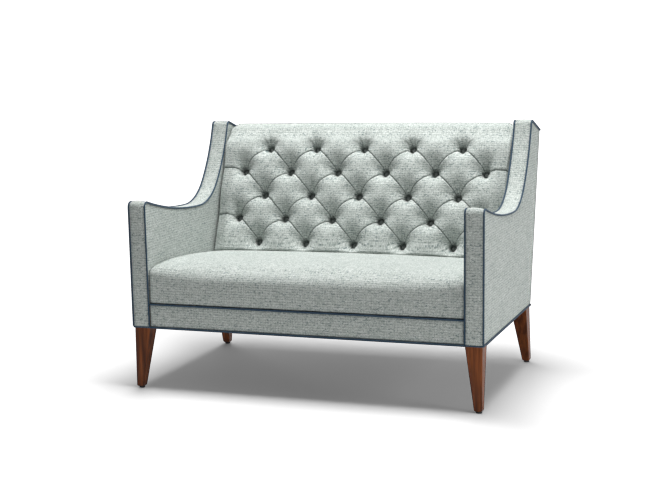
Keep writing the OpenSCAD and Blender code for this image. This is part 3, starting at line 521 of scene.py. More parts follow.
# the buttons wear the cover's cloth, darkened with painted shade for the deep pits they sit in
paintedShadeButtonLook = {**coverLook, "pitch": 0.0018, "warp": (0.50, 0.53, 0.51), "weft": (0.11, 0.13, 0.12)}
pipingLook = {
    "pitch": 0.0011, "warp": (0.045, 0.088, 0.138), "weft": (0.016, 0.036, 0.058), "fleck": (0.09, 0.14, 0.19),
    "flecks": 0.06, "slub": 0.3, "mottle": 0.4, "stripe": 0.0, "bump": 0.35, "depth": 0.0003, "sheen": 0.10,
}
webbingLook = {
    **coverLook, "pitch": 0.003, "warp": (0.55, 0.42, 0.25), "weft": (0.30, 0.20, 0.11), "fleck": (0.12, 0.05, 0.03),
}
hessianLook = {
    **coverLook, "pitch": 0.0025, "warp": (0.60, 0.49, 0.32), "weft": (0.38, 0.28, 0.16), "fleck": (0.2, 0.14, 0.08),
}
dustLook = {
    **coverLook, "pitch": 0.0012, "warp": (0.020, 0.020, 0.022), "weft": (0.009, 0.009, 0.010),
    "fleck": (0.03, 0.03, 0.032), "slub": 0.2,
}
legLook = {
    "light": (0.235, 0.064, 0.014), "dark": (0.060, 0.014, 0.003), "scale": 1.0, "figure": 0.5,
    "gloss": 0.42, "coat": 0.03, "specular": 0.18, "turn": (0, 0, 0.3),
}
frameLook = {
    "light": (0.62, 0.45, 0.27), "dark": (0.42, 0.27, 0.14), "scale": 0.7, "figure": 0.8,
    "gloss": 0.75, "coat": 0.0, "specular": 0.4, "turn": (0, 0, 0),
}
crossLook = {**frameLook, "turn": (0, math.pi / 2, 0)}
speckled = {
    "spring": ("drawn spring steel", {
        "scale": 60, "axes": (1, 8, 8), "dark": (0.10, 0.105, 0.115), "light": (0.28, 0.29, 0.31),
        "rough": 0.38, "metal": 1.0}),
    "bolt": ("plated steel", {
        "scale": 400, "dark": (0.42, 0.43, 0.44), "light": (0.66, 0.67, 0.68), "rough": 0.32, "metal": 1.0}),
    "insert": ("turned brass", {
        "scale": 300, "axes": (1, 1, 12), "dark": (0.55, 0.38, 0.14), "light": (0.80, 0.62, 0.30),
        "rough": 0.3, "metal": 1.0}),
    "glide": ("black glide", {
        "scale": 700, "dark": (0.008, 0.008, 0.009), "light": (0.03, 0.03, 0.032), "rough": 0.55}),
    "foam": ("seat foam", {
        "scale": 500, "dark": (0.62, 0.56, 0.38), "light": (0.86, 0.82, 0.66), "rough": 0.95, "depth": 0.001}),
    "felt": ("needled felt", {
        "scale": 260, "dark": (0.30, 0.29, 0.27), "light": (0.62, 0.60, 0.56), "rough": 0.95, "depth": 0.0006}),
}
finishes = {
    "cover": clothFinish("settee cover cloth", coverLook),
    "buttonedCover": clothFinish("buttoned cover cloth", coverLook, paintedShadeMap="foldAndPaintedShade"),
    "button": clothFinish("button cloth with painted shade", paintedShadeButtonLook),
    "piping": clothFinish("blue piping cloth", pipingLook, None),
    "leg": woodFinish("polished leg wood", legLook),
    "frameTimber": woodFinish("frame timber", frameLook),
    "crossTimber": woodFinish("frame timber along the settee", crossLook),
    "dowel": woodFinish("dowel wood", {**crossLook, "light": (0.70, 0.54, 0.36)}),
    **{key: speckledFinish(*made) for key, made in speckled.items()},
    "webbing": clothFinish("jute webbing", webbingLook, None),
    "hessian": clothFinish("hessian", hessianLook, None),
    "dust": clothFinish("black dust cloth", dustLook),
}
print("settee: finishes made")


# the CAD nodes that stay take their finish by the record's slot

slotFinish = {
    "frame_timber": "frameTimber", "dowel_wood": "dowel", "spring_steel": "spring", "felt": "felt",
    "foam": "foam", "webbing": "webbing", "hessian": "hessian", "dust_cloth": "dust", "bolt_steel": "bolt",
    "insert_brass": "insert", "glide_plastic": "glide", "cover_fabric": "cover", "piping_fabric": "piping",
    "leg_wood": "leg",
}
alongSettee = ("front_seat_rail", "rear_seat_rail", "lower_back_rail", "top_back_rail")
for part in frame["record"]["subparts"]:
    node = frame["nodes"][part["node"]]
    kind = "crossTimber" if part["node"] in alongSettee else slotFinish[part["material_slot"]]
    node.data.materials.clear()
    node.data.materials.append(finishes[kind])


def standFor(piece, slotName, *nodes, fill=None):
    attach(piece, "root")
    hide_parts(*nodes)
    return piece


# covered cords along curves, and shapes set at points, made by geometry nodes

def geometryTree(name, inputs):
    tree = bpy.data.node_groups.new(name, "GeometryNodeTree")
    tree.interface.new_socket(name="Geometry", in_out="INPUT", socket_type="NodeSocketGeometry")
    for label, kind, value in inputs:
        socket = tree.interface.new_socket(name=label, in_out="INPUT", socket_type=kind)
        if value is not None:
            socket.default_value = value
    tree.interface.new_socket(name="Geometry", in_out="OUTPUT", socket_type="NodeSocketGeometry")
    return tree, tree.nodes.new("NodeGroupInput"), tree.nodes.new("NodeGroupOutput")


def addNode(tree, kind, values=(), **settings):
    node = tree.nodes.new(kind)
    for key, value in settings.items():
        setattr(node, key, value)
    for label, value in dict(values).items():
        plug(tree, node.inputs[label], value)
    return node


def finishTree(tree, geometry, finish, made):
    # the last two nodes of every tree
    real = addNode(tree, "GeometryNodeRealizeInstances", {"Geometry": geometry})
    faced = addNode(tree, "GeometryNodeSetMaterial", {"Geometry": real.outputs[0], "Material": finish})
    tree.links.new(faced.outputs[0], made.inputs[0])


def coveredCordTree():
    tree, given, made = geometryTree("coveredCord", [
        ("Cord Radius", "NodeSocketFloat", 0.003), ("Sides", "NodeSocketInt", 14),
        ("Spacing", "NodeSocketFloat", 0.003), ("Unevenness", "NodeSocketFloat", 0.05),
        ("Lump Length", "NodeSocketFloat", 0.02), ("Seed", "NodeSocketFloat", 1.0),
        ("Finish", "NodeSocketMaterial", None),
    ])
    inputs = given.outputs
    even = addNode(tree, "GeometryNodeResampleCurve", {
        "Curve": inputs[0], "Length": inputs["Spacing"]}, mode="LENGTH")
    place = addNode(tree, "GeometryNodeInputPosition")
    lumps = addNode(tree, "ShaderNodeTexNoise", {"Vector": place.outputs[0]}, noise_dimensions="4D")
    plug(tree, lumps.inputs["Scale"], mathNode(tree, "DIVIDE", 1.0, inputs["Lump Length"]))
    plug(tree, lumps.inputs["W"], inputs["Seed"])
    swell = mathNode(tree, "MULTIPLY", mathNode(tree, "SUBTRACT", lumps.outputs[0], 0.5), inputs["Unevenness"])
    ring = addNode(tree, "GeometryNodeCurvePrimitiveCircle", {
        "Resolution": inputs["Sides"], "Radius": inputs["Cord Radius"]})
    uneven = addNode(tree, "GeometryNodeSetPosition", {"Geometry": even.outputs[0]})
    normal = addNode(tree, "GeometryNodeInputNormal")
    offset = mathNode(tree, "MULTIPLY", swell, inputs["Cord Radius"])
    plug(tree, uneven.inputs["Offset"], scaledBy(tree, normal.outputs[0], offset))
    tube = addNode(tree, "GeometryNodeCurveToMesh", {
        "Curve": uneven.outputs[0], "Profile Curve": ring.outputs[0], "Fill Caps": True})
    smooth = addNode(tree, "GeometryNodeSetShadeSmooth", {"Geometry": tube.outputs[0]})
    finishTree(tree, smooth.outputs[0], inputs["Finish"], made)
    return tree


def scatterTree():
    # a small piece set at every point of the given mesh, tilted, with its own spin and size
    tree, given, made = geometryTree("setAtPoints", [
        ("Piece", "NodeSocketObject", None), ("Tilt", "NodeSocketFloat", 0.0), ("Spin", "NodeSocketFloat", 0.3),
        ("Size Spread", "NodeSocketFloat", 0.03), ("Seed", "NodeSocketInt", 4),
        ("Finish", "NodeSocketMaterial", None),
    ])
    inputs = given.outputs
    info = addNode(tree, "GeometryNodeObjectInfo", {"Object": inputs["Piece"]})
    spin = addNode(tree, "FunctionNodeRandomValue", data_type="FLOAT")
    plug(tree, spin.inputs[2], mathNode(tree, "MULTIPLY", inputs["Spin"], -1.0))
    plug(tree, spin.inputs[3], inputs["Spin"])
    plug(tree, spin.inputs["Seed"], inputs["Seed"])
    turn = addNode(tree, "FunctionNodeRotateEuler")
    base = addNode(tree, "ShaderNodeCombineXYZ", {"Z": spin.outputs[1]})
    lean = addNode(tree, "ShaderNodeCombineXYZ", {"X": inputs["Tilt"]})
    tree.links.new(base.outputs[0], turn.inputs["Rotation"])
    tree.links.new(lean.outputs[0], turn.inputs["Rotate By"])
    size = addNode(tree, "FunctionNodeRandomValue", data_type="FLOAT")
    plug(tree, size.inputs[2], mathNode(tree, "SUBTRACT", 1.0, inputs["Size Spread"]))
    plug(tree, size.inputs[3], mathNode(tree, "ADD", 1.0, inputs["Size Spread"]))
    plug(tree, size.inputs["Seed"], mathNode(tree, "ADD", inputs["Seed"], 7.0))
    points = addNode(tree, "GeometryNodeMeshToPoints", {"Mesh": inputs[0]})
    placed = addNode(tree, "GeometryNodeInstanceOnPoints", {
        "Points": points.outputs[0], "Instance": info.outputs["Geometry"],
        "Rotation": turn.outputs[0], "Scale": size.outputs[1]})
    finishTree(tree, placed.outputs[0], inputs["Finish"], made)
    return tree


cordTree, pointTree = coveredCordTree(), scatterTree()


def applyTree(holder, tree, values, name):
    # the tree's result as a plain mesh piece, with its holder gone
    modifier = holder.modifiers.new("make", "NODES")
    modifier.node_group = tree
    for item in tree.interface.items_tree:
        if item.in_out == "INPUT" and item.name in values:
            modifier[item.identifier] = values[item.name]
    bpy.context.view_layer.update()
    graph = bpy.context.evaluated_depsgraph_get()
    mesh = bpy.data.meshes.new_from_object(holder.evaluated_get(graph), depsgraph=graph)
    mesh.name = name
    holder.modifiers.remove(modifier)
    bpy.data.objects.remove(holder)
    piece = bpy.data.objects.new(name, mesh)
    bpy.context.scene.collection.objects.link(piece)
    return piece


def polyCurve(name, line, closed):
    curve = bpy.data.curves.new(name, "CURVE")
    curve.dimensions = "3D"
    spline = curve.splines.new("POLY")
    spline.points.add(len(line) - 1)
    for point, place in zip(spline.points, line):
        point.co = (*map(float, place), 1)
    spline.use_cyclic_u = closed
    holder = bpy.data.objects.new(name, curve)
    bpy.context.scene.collection.objects.link(holder)
    return holder


piping = {"sides": 14, "spacing": 0.0035, "unevenness": 0.16, "lump": 0.016}


def pipingPiece(name, line, node, seed, closed=False):
    piece = applyTree(polyCurve(name + "Line", line, closed), cordTree, {
        "Cord Radius": settee["pipeRadius"], "Sides": piping["sides"], "Spacing": piping["spacing"],
        "Unevenness": piping["unevenness"], "Lump Length": piping["lump"], "Seed": seed,
        "Finish": finishes["piping"],
    }, name)
    return standFor(piece, "piping_fabric", node)


def armPipings():
    for side, sideName in ((-1, "left"), (1, "right")):
        for x, place in ((faceX - pipeIn, "outer"), (innerX + pipeIn, "inner")):
            line = edgeLine(pipeIn, coverFoot + settee["gap"], settee["pipeRadius"])
            points = toRow(np.full(len(line), side * x), line[:, 0], line[:, 1])
            name, node = sideName + place.capitalize() + "Piping", f"{sideName}_{place}_piping"
            pipingPiece(name, points, node, 3.0 + side + x)


def basePiping():
    z, bend = settee["base"] + pipeIn, 2 * settee["pipeRadius"]
    x, low, high = faceX - pipeIn, frontU + pipeIn, rearLine(settee["base"], pipeIn)
    corners = [(-x + bend, low + bend, 180), (x - bend, low + bend, 270),
               (x - bend, high - bend, 0), (-x + bend, high - bend, 90)]
    line = np.vstack([arcPoints(corner[:2], bend, corner[2], corner[2] + 90, 6) for corner in corners])
    points = toRow(line[:, 0], line[:, 1], np.full(len(line), z))
    pipingPiece("basePiping", points, "base_piping", 9.0, closed=True)


seatPiping = {"height": 0.305, "borderSet": 0.003, "points": 60}


def seatPipingPiece():
    half = innerX + pipeIn - settee["pipeRadius"] - settee["gap"]
    u = frontU + seatPiping["borderSet"] + pipeIn
    x = np.linspace(-half, half, seatPiping["points"])
    points = toRow(x, np.full_like(x, u), np.full_like(x, seatPiping["height"]))
    pipingPiece("seatPiping", points, "seat_piping", 5.0)


armPipings()
basePiping()
seatPipingPiece()
print("settee: piping laid")


# padded bands along the arms' edges

armBand = {
    "crown": 0.0034, "cornerCrown": 0.0028, "cornerReach": 0.035, "across": 17, "depth": 0.012,
    "underPiping": 0.0006, "roundness": 2.6, "waviness": 0.0006, "sink": 0.0012,
}


def armBandPiece(side, sideName):
    line = edgeLine(0.0, coverFoot, 0.0)
    tangent = np.gradient(line, axis=0)
    tangent /= np.linalg.norm(tangent, axis=1)[:, None]
    outward = np.c_[-tangent[:, 1], tangent[:, 0]]
    length = np.r_[0, np.cumsum(np.linalg.norm(np.diff(line, axis=0), axis=1))]
    low, high = innerX + pipeNest - armBand["underPiping"], faceX - pipeNest + armBand["underPiping"]
    t = np.linspace(0, 1, armBand["across"])
    # fuller over the front top corner, where the cover is drawn over its padding
    corner = np.exp(-((length - length[settee["frontSteps"]]) / armBand["cornerReach"]) ** 2)
    crown = armBand["crown"] + armBand["cornerCrown"] * corner
    shape = 1 - np.abs(2 * t - 1) ** armBand["roundness"]
    wave = seededNoise((len(line), len(t)), 21 + side, (9, 3)) * armBand["waviness"]
    rise = crown[:, None] * shape[None, :] + wave * shape[None, :] - armBand["sink"]
    inner = edgeLine(armBand["depth"], coverFoot, 0.0)
    across = np.tile(low + (high - low) * t, (len(line), 1))
    face = toRow(side * across, line[:, 0, None] + outward[:, 0, None] * rise,
                 line[:, 1, None] + outward[:, 1, None] * rise)
    back = toRow(side * across, np.tile(inner[:, 0, None], (1, len(t))), np.tile(inner[:, 1, None], (1, len(t))))
    uvs = np.stack([across, np.tile(length[:, None], (1, len(t)))], axis=-1)
    return standFor(closedPad(sideName + "ArmBand", face, back, finishes["cover"], uvs),
                    "cover_fabric", f"{sideName}_arm_band", fill=0.85)


for side, sideName in ((-1, "left"), (1, "right")):
    armBandPiece(side, sideName)


# covers on the insides and outsides of the arms

def edgeDistance(points, border):
    flat = points.reshape(-1, 2)
    best = np.full(len(flat), 1e9)
    for a, b in zip(border, np.roll(border, -1, axis=0)):
        run = b - a
        share = np.clip(((flat - a) @ run) / max(run @ run, 1e-12), 0, 1)
        best = np.minimum(best, np.linalg.norm(flat - a - share[:, None] * run, axis=1))
    return best.reshape(points.shape[:2])


def sideGrid(top, bottom, rows):
    t = 0.5 - 0.5 * np.cos(np.linspace(0, 1, rows) * np.pi)
    t = 0.5 * t + 0.5 * np.linspace(0, 1, rows)
    points = bottom[:, None, :] + (top - bottom)[:, None, :] * t[None, :, None]
    border = np.vstack([top, points[-1, ::-1], bottom[::-1], points[0]])
    return points, border


webbing = {"footHeight": 0.330, "footSet": 0.142, "headDrop": 0.105, "headSet": 0.075, "front": 0.0058}
webFootU = rearLine(webbing["footHeight"]) - webbing["footSet"]
webHeadZ = settee["height"] - webbing["headDrop"]
webSlope = (rearLine(webHeadZ) - webbing["headSet"] - webFootU) / (webHeadZ - webbing["footHeight"])


def webLine(z):
    return webFootU + (z - webbing["footHeight"]) * webSlope


armCover = {
    "rows": 56, "recess": 0.0028, "turnIn": 0.0075, "turnPower": 1.4, "sheet": 0.0034, "sheetWidth": 0.016,
    "waviness": 0.0005, "waveReach": 0.05, "insideFoot": 0.3003, "underPiping": 0.0004,
}


def armPanel(name, side, x, inward, top, bottom, seed, thick):
    # x is the cover's own plane, inward the way to the arm's middle
    points, border = sideGrid(top, bottom, armCover["rows"])
    near = edgeDistance(points, border)
    recess = armCover["recess"] * np.exp(-(near / armCover["turnIn"]) ** armCover["turnPower"])
    calm = np.clip(near / armCover["waveReach"], 0, 1)
    wave = seededNoise(near.shape, seed, (9, 6)) * armCover["waviness"] * calm
    depth = np.where(near > armCover["sheetWidth"], thick, armCover["sheet"])
    u, z = points[..., 0], points[..., 1]
    face = toRow(side * (x + inward * (recess + np.abs(wave))), u, z)
    back = toRow(side * (x + inward * np.maximum(depth, recess + armCover["underPiping"])), u, z)
    return closedPad(name, face, back, finishes["cover"], np.stack([u, z], axis=-1))


def coverBottom(top, height, rearU, inset):
    # the cover's lower edge, with a point under each point of its top
    share = (top[:, 0] - top[0, 0]) / (top[-1, 0] - top[0, 0])
    return np.c_[frontU + inset + share * (rearU - frontU - inset), np.full(len(top), height)]


def armCovers():
    inset = pipeNest - armCover["underPiping"]
    for side, sideName in ((-1, "left"), (1, "right")):
        top = edgeLine(inset, coverFoot, 0.0)[settee["frontSteps"] - 1:]
        foot = coverBottom(top, coverFoot, rearLine(coverFoot), inset)
        outside = armPanel(sideName + "OutsideArm", side, faceX, -1, top, foot, 31 + side, settee["panelThick"])
        standFor(outside, "cover_fabric", f"{sideName}_outside_arm", fill=0.9)
        # the inside cover ends where the back's pad meets it
        top = top[top[:, 0] < webLine(top[:, 1]) - webbing["front"]]
        foot = coverBottom(top, armCover["insideFoot"], webFootU - webbing["front"], inset)
        inside = armPanel(sideName + "InsideArm", side, innerX, 1, top, foot, 41 + side, settee["armPad"])
        standFor(inside, "cover_fabric", f"{sideName}_inside_arm", fill=0.8)


armCovers()


# outside back and front border

outsideBack = {
    "topDrop": 0.012, "columns": 140, "rows": 70, "recess": 0.0012, "turnIn": 0.006, "waviness": 0.0005,
    "seed": 57, "blur": (14, 7), "fill": 0.9,
}
frontBorder = {
    "set": 0.003, "columns": 190, "rows": 26, "recess": 0.002, "turnIn": 0.006, "waviness": 0.0005,
    "seed": 61, "blur": (12, 5), "fill": 0.85,
}


def stretchedPanel(name, node, look, half, top, plane, backPlane, inward):
    # flat cloth from the body's foot to its top, turned in at its edges
    columns, rows = np.linspace(-half, half, look["columns"]), np.linspace(coverFoot, top, look["rows"])
    x, z = np.meshgrid(columns, rows, indexing="ij")
    near = np.minimum(np.minimum(half - np.abs(x), z - coverFoot), top - z)
    recess = look["recess"] * np.exp(-(near / look["turnIn"]) ** 1.5)
    wave = np.abs(seededNoise(x.shape, look["seed"], look["blur"])) * look["waviness"]
    face = toRow(x, plane(z) + inward * (recess + wave), z)
    pad = closedPad(name, face, toRow(x, backPlane(z), z), finishes["cover"], np.stack([x, z], axis=-1))
    standFor(pad, "cover_fabric", node, fill=look["fill"])


def outsideBackPiece():
    corner, thick = rearCorner(outsideBack["topDrop"], 0), settee["panelThick"] / math.cos(rearLean)
    line = lambda z: corner[0] - (corner[1] - z) * math.tan(rearLean)
    stretchedPanel("outsideBack", "outside_back", outsideBack, faceX - settee["panelThick"], corner[1],
                   line, lambda z: line(z) - thick, -1)


def frontBorderPiece():
    half = innerX + pipeIn - settee["pipeRadius"] - settee["gap"]
    top = seatPiping["height"] - settee["pipeRadius"] - settee["gap"] + 0.001
    stretchedPanel("frontBorder", "front_border", frontBorder, half, top,
                   lambda z: np.full_like(z, frontU + frontBorder["set"]),
                   lambda z: np.full_like(z, frontU + settee["bandThick"]), 1)


outsideBackPiece()
frontBorderPiece()
print("settee: arms, outside back and border covered")


# deep-buttoned inside back

tufting = {
    "rows": 5, "shortRow": 5, "buttonSide": 0.0915, "topDrop": 0.113, "lowRowHeight": 0.447,
    "topPad": 0.065, "lowPad": 0.086, "deep": -0.012, "cells": 44, "sideCells": 36,
    "pleat": 0.044, "pleatPower": 0.72, "puff": 0.008, "puffPower": 0.8, "puffSpread": 0.12,
    "lip": 0.0025, "lipWidth": 0.045, "slit": 0.0050, "bow": 0.074, "bowPower": 0.38, "outward": 1.25,
    "sideRise": 0.045, "sideBow": 0.004, "sideShare": 0.08, "sideRound": 0.014,
    "sideSink": 0.026, "sideReach": 0.060, "topPuff": 0.022, "rollRadius": 0.040, "rollSteps": 22,
    "topSet": 0.001, "topLean": 0.035, "topSwell": 0.002,
    "pitRadius": 0.0084, "pitSlope": 3.6, "footDrop": 0.0270, "footRound": 0.010, "footLift": 0.006,
    "gather": 0.0026, "gatherReach": 0.028, "fanReach": 0.046, "gathers": 11, "gatherLimit": 0.13,
    "gatherStart": 0.008, "gatherSkew": (0.8, 1.2), "gatherDown": 0.45, "gatherUp": 0.75,
    "seamDepth": 0.0016, "stillNear": 0.006, "stillBelow": 0.011, "freeNear": 0.014, "freeBelow": 0.008,
    "stillFoot": 0.022, "stillTop": 0.045,
    "hollowShade": 0.7, "hollowDepth": 0.020, "cornerDrop": 0.012, "cornerReach": 0.038, "crown": 0.002,
    "backDrop": 0.0117, "turnHeight": 0.868, "drawnIn": 0.5, "drawnAlong": 0.4, "buttonSeat": -0.0052,
}
topRowZ = settee["height"] - tufting["topDrop"]
lowRowZ = tufting["lowRowHeight"]
rowPitch = (topRowZ - lowRowZ) / (tufting["rows"] - 1)
buttonReach = innerX - tufting["buttonSide"]
buttonPitch = 2 * buttonReach / tufting["shortRow"]
topRowU, lowRowU = webLine(topRowZ) - tufting["topPad"], webLine(lowRowZ) - tufting["lowPad"]
buttonLean = math.atan((topRowU - lowRowU) / (topRowZ - lowRowZ))
tuckZ = lowRowZ - rowPitch / 4


def buttonPlane(z):
    return topRowU + (z - topRowZ) * math.tan(buttonLean)


def buttonPlaces():
    places = []
    for row in range(tufting["rows"]):
        count, z = tufting["shortRow"] + row % 2, topRowZ - row * rowPitch
        places += [((i - (count - 1) / 2) * buttonPitch, z, row, i) for i in range(count)]
    return places


def puffs(x, z):
    # height over the buttons' plane, and the shift of the cloth towards the buttons above
    inRows = np.clip(z, lowRowZ, topRowZ)
    xs = np.clip(x, -buttonReach, buttonReach) / buttonPitch
    zs = (inRows - topRowZ) / rowPitch / 2
    p, q = (xs + zs) % 1.0, (xs - zs) % 1.0
    p = np.where(np.abs(p - 1) < 1e-6, 0, p)
    q = np.where(np.abs(q - 1) < 1e-6, 0, q)
    # the pleats rise from the buttons to their middles
    inside = z == inRows
    last = (tufting["shortRow"] - 1) / 2
    short = np.clip(np.round(xs), -last, last) * buttonPitch
    away = np.hypot(x - short, tufting["outward"] * (z - inRows) / math.cos(buttonLean)) / buttonPitch
    risen = [np.sin(np.pi * np.where(inside, t, np.clip(away, 0, 0.5))) ** tufting["pleatPower"]
             for t in (p, q)]
    sideShare = np.clip((np.abs(x) - buttonReach) / tufting["sideRise"], 0, 1)
    risen.append(np.sin(np.pi / 2 * sideShare) ** tufting["pleatPower"])
    rise = (1 - np.prod([1 - t ** 4 for t in risen], axis=0)) ** 0.25
    cellP, cellQ = np.floor(xs + zs + 1e-6), np.floor(xs - zs + 1e-6)
    # half diamonds under the top row and over the low one stay full out to their open side
    depth = cellQ - cellP
    under, over = depth < 0.5, depth > tufting["rows"] - 1.5
    openP = np.where(under, np.minimum(p, 0.5), np.where(over, np.maximum(p, 0.5), p))
    openQ = np.where(under, np.maximum(q, 0.5), np.where(over, np.minimum(q, 0.5), q))
    full = np.sin(np.pi * openP) ** tufting["puffPower"] * np.sin(np.pi * openQ) ** tufting["puffPower"]
    foldAndPaintedShade = ((p < 1e-4) | (q < 1e-4)) & inside
    lips = np.ones_like(x)
    for t in (p, q):
        close = np.clip(np.minimum(t, 1 - t) / tufting["lipWidth"], 0, 1)
        lips = lips * np.where(inside, np.sqrt(1 - (1 - close) ** 2), 1)
    fuller = 1 + tufting["puffSpread"] * np.sin((cellP * 7.3 + cellQ * 3.1) * 12.9)
    # the cloth over a left-hand pleat turns down into it a little before the pleat
    brink = (q > 1 - 1.3 / (2 * tufting["cells"])) & inside
    dip = np.clip(3 * rise, 0, 1) * np.where(foldAndPaintedShade, 1.0, np.where(brink, 0.45, 0.0))
    extra = tufting["puff"] * fuller * full + tufting["lip"] * lips - tufting["slit"] * dip
    left, right = (tufting["bow"] * (4 * t * (1 - t)) ** tufting["bowPower"] for t in (p, q))
    across = buttonPitch / 2 * (right - left)
    along = rowPitch * (right + left) + tufting["sideBow"] * sideShare * (1 - np.sin(np.pi * p))
    # painted shade along the pleats, half as dark on the brink before a left-hand pleat
    paintedCreaseShade = np.clip(2.5 * rise, 0, 1) * np.where(foldAndPaintedShade, 1.0, np.where(brink, 0.5, 0.0))
    return rise, extra, across, along, paintedCreaseShade


def gathersAt(x, v, places):
    # small creases that fan out from every button
    rng = np.random.default_rng(17)
    lift = np.zeros_like(x)
    for bx, bz, row, _ in places:
        bv = (bz - topRowZ) / math.cos(buttonLean)
        dx, dv = x - bx, v - bv
        r = np.hypot(dx, dv)
        near = r < tufting["gatherLimit"]
        ang = np.arctan2(dv[near], dx[near])
        phase, skew = rng.uniform(0, 6.28), rng.uniform(*tufting["gatherSkew"])
        up = np.clip(np.sin(ang), 0, 1)
        further = (tufting["fanReach"] / tufting["gatherReach"] - 1) * up * (row == 0)
        reach = tufting["gatherReach"] * (1 + further)
        fan = np.exp(-(r[near] / reach) ** 2) * np.clip(r[near] / tufting["gatherStart"], 0, 1)
        ripple = np.sin(ang * tufting["gathers"] + phase + 1.3 * skew * np.sin(2 * ang))
        deeper = tufting["gatherDown"] + tufting["gatherUp"] * up
        lift[near] += tufting["gather"] * skew * fan * ripple * deeper
    return lift


def smoothStep(t):
    t = np.clip(t, 0, 1)
    return t * t * (3 - 2 * t)


def riseToRoll(z, tall, turn):
    # level of the plain cloth over the top row, from the pleats' height to the roll's
    lean, plain = tufting["topLean"], tufting["topPuff"]
    t = np.clip((z - topRowZ + lean) / (tall + lean), 0, 1)
    fall = -plain / (tufting["rollRadius"] * turn) * math.cos(buttonLean)
    rising = (1 + 2 * t) * (1 - t) ** 2 * tufting["pleat"] + t * t * (3 - 2 * t) * plain
    return rising + t * t * (t - 1) * (tall + lean) * fall


def buttonDistance(x, v, z, places):
    # distance to the nearest button, and how far the cloth is below it
    spans = np.array([np.hypot(x - bx, v - (bz - topRowZ) / math.cos(buttonLean)) for bx, bz, _, _ in places])
    near, nearest = np.min(spans, axis=0), np.argmin(spans, axis=0)
    fallen = (np.array([bz for _, bz, _, _ in places])[nearest] - z) / math.cos(buttonLean)
    return near, smoothStep((fallen / np.maximum(near, 1e-6) - 0.70) / 0.25)


def backProfile():
    # roll along the top, between the buttons' plane and the line of the wings' tops
    turn = math.pi / 2 - buttonLean + wingFall
    rise = wingRun[1] + wingRun[0] * math.tan(wingFall) - tufting["topSet"] / math.cos(wingFall)
    peakU = (rise - topRowZ + topRowU / math.tan(buttonLean)) / (1 / math.tan(buttonLean) + math.tan(wingFall))
    peak = np.array([peakU, rise - peakU * math.tan(wingFall)])
    run = tufting["rollRadius"] * math.tan(turn / 2)
    start = peak - run * np.array([math.sin(buttonLean), math.cos(buttonLean)])
    centre = start + tufting["rollRadius"] * np.array([math.cos(buttonLean), -math.sin(buttonLean)])
    return turn, start, centre


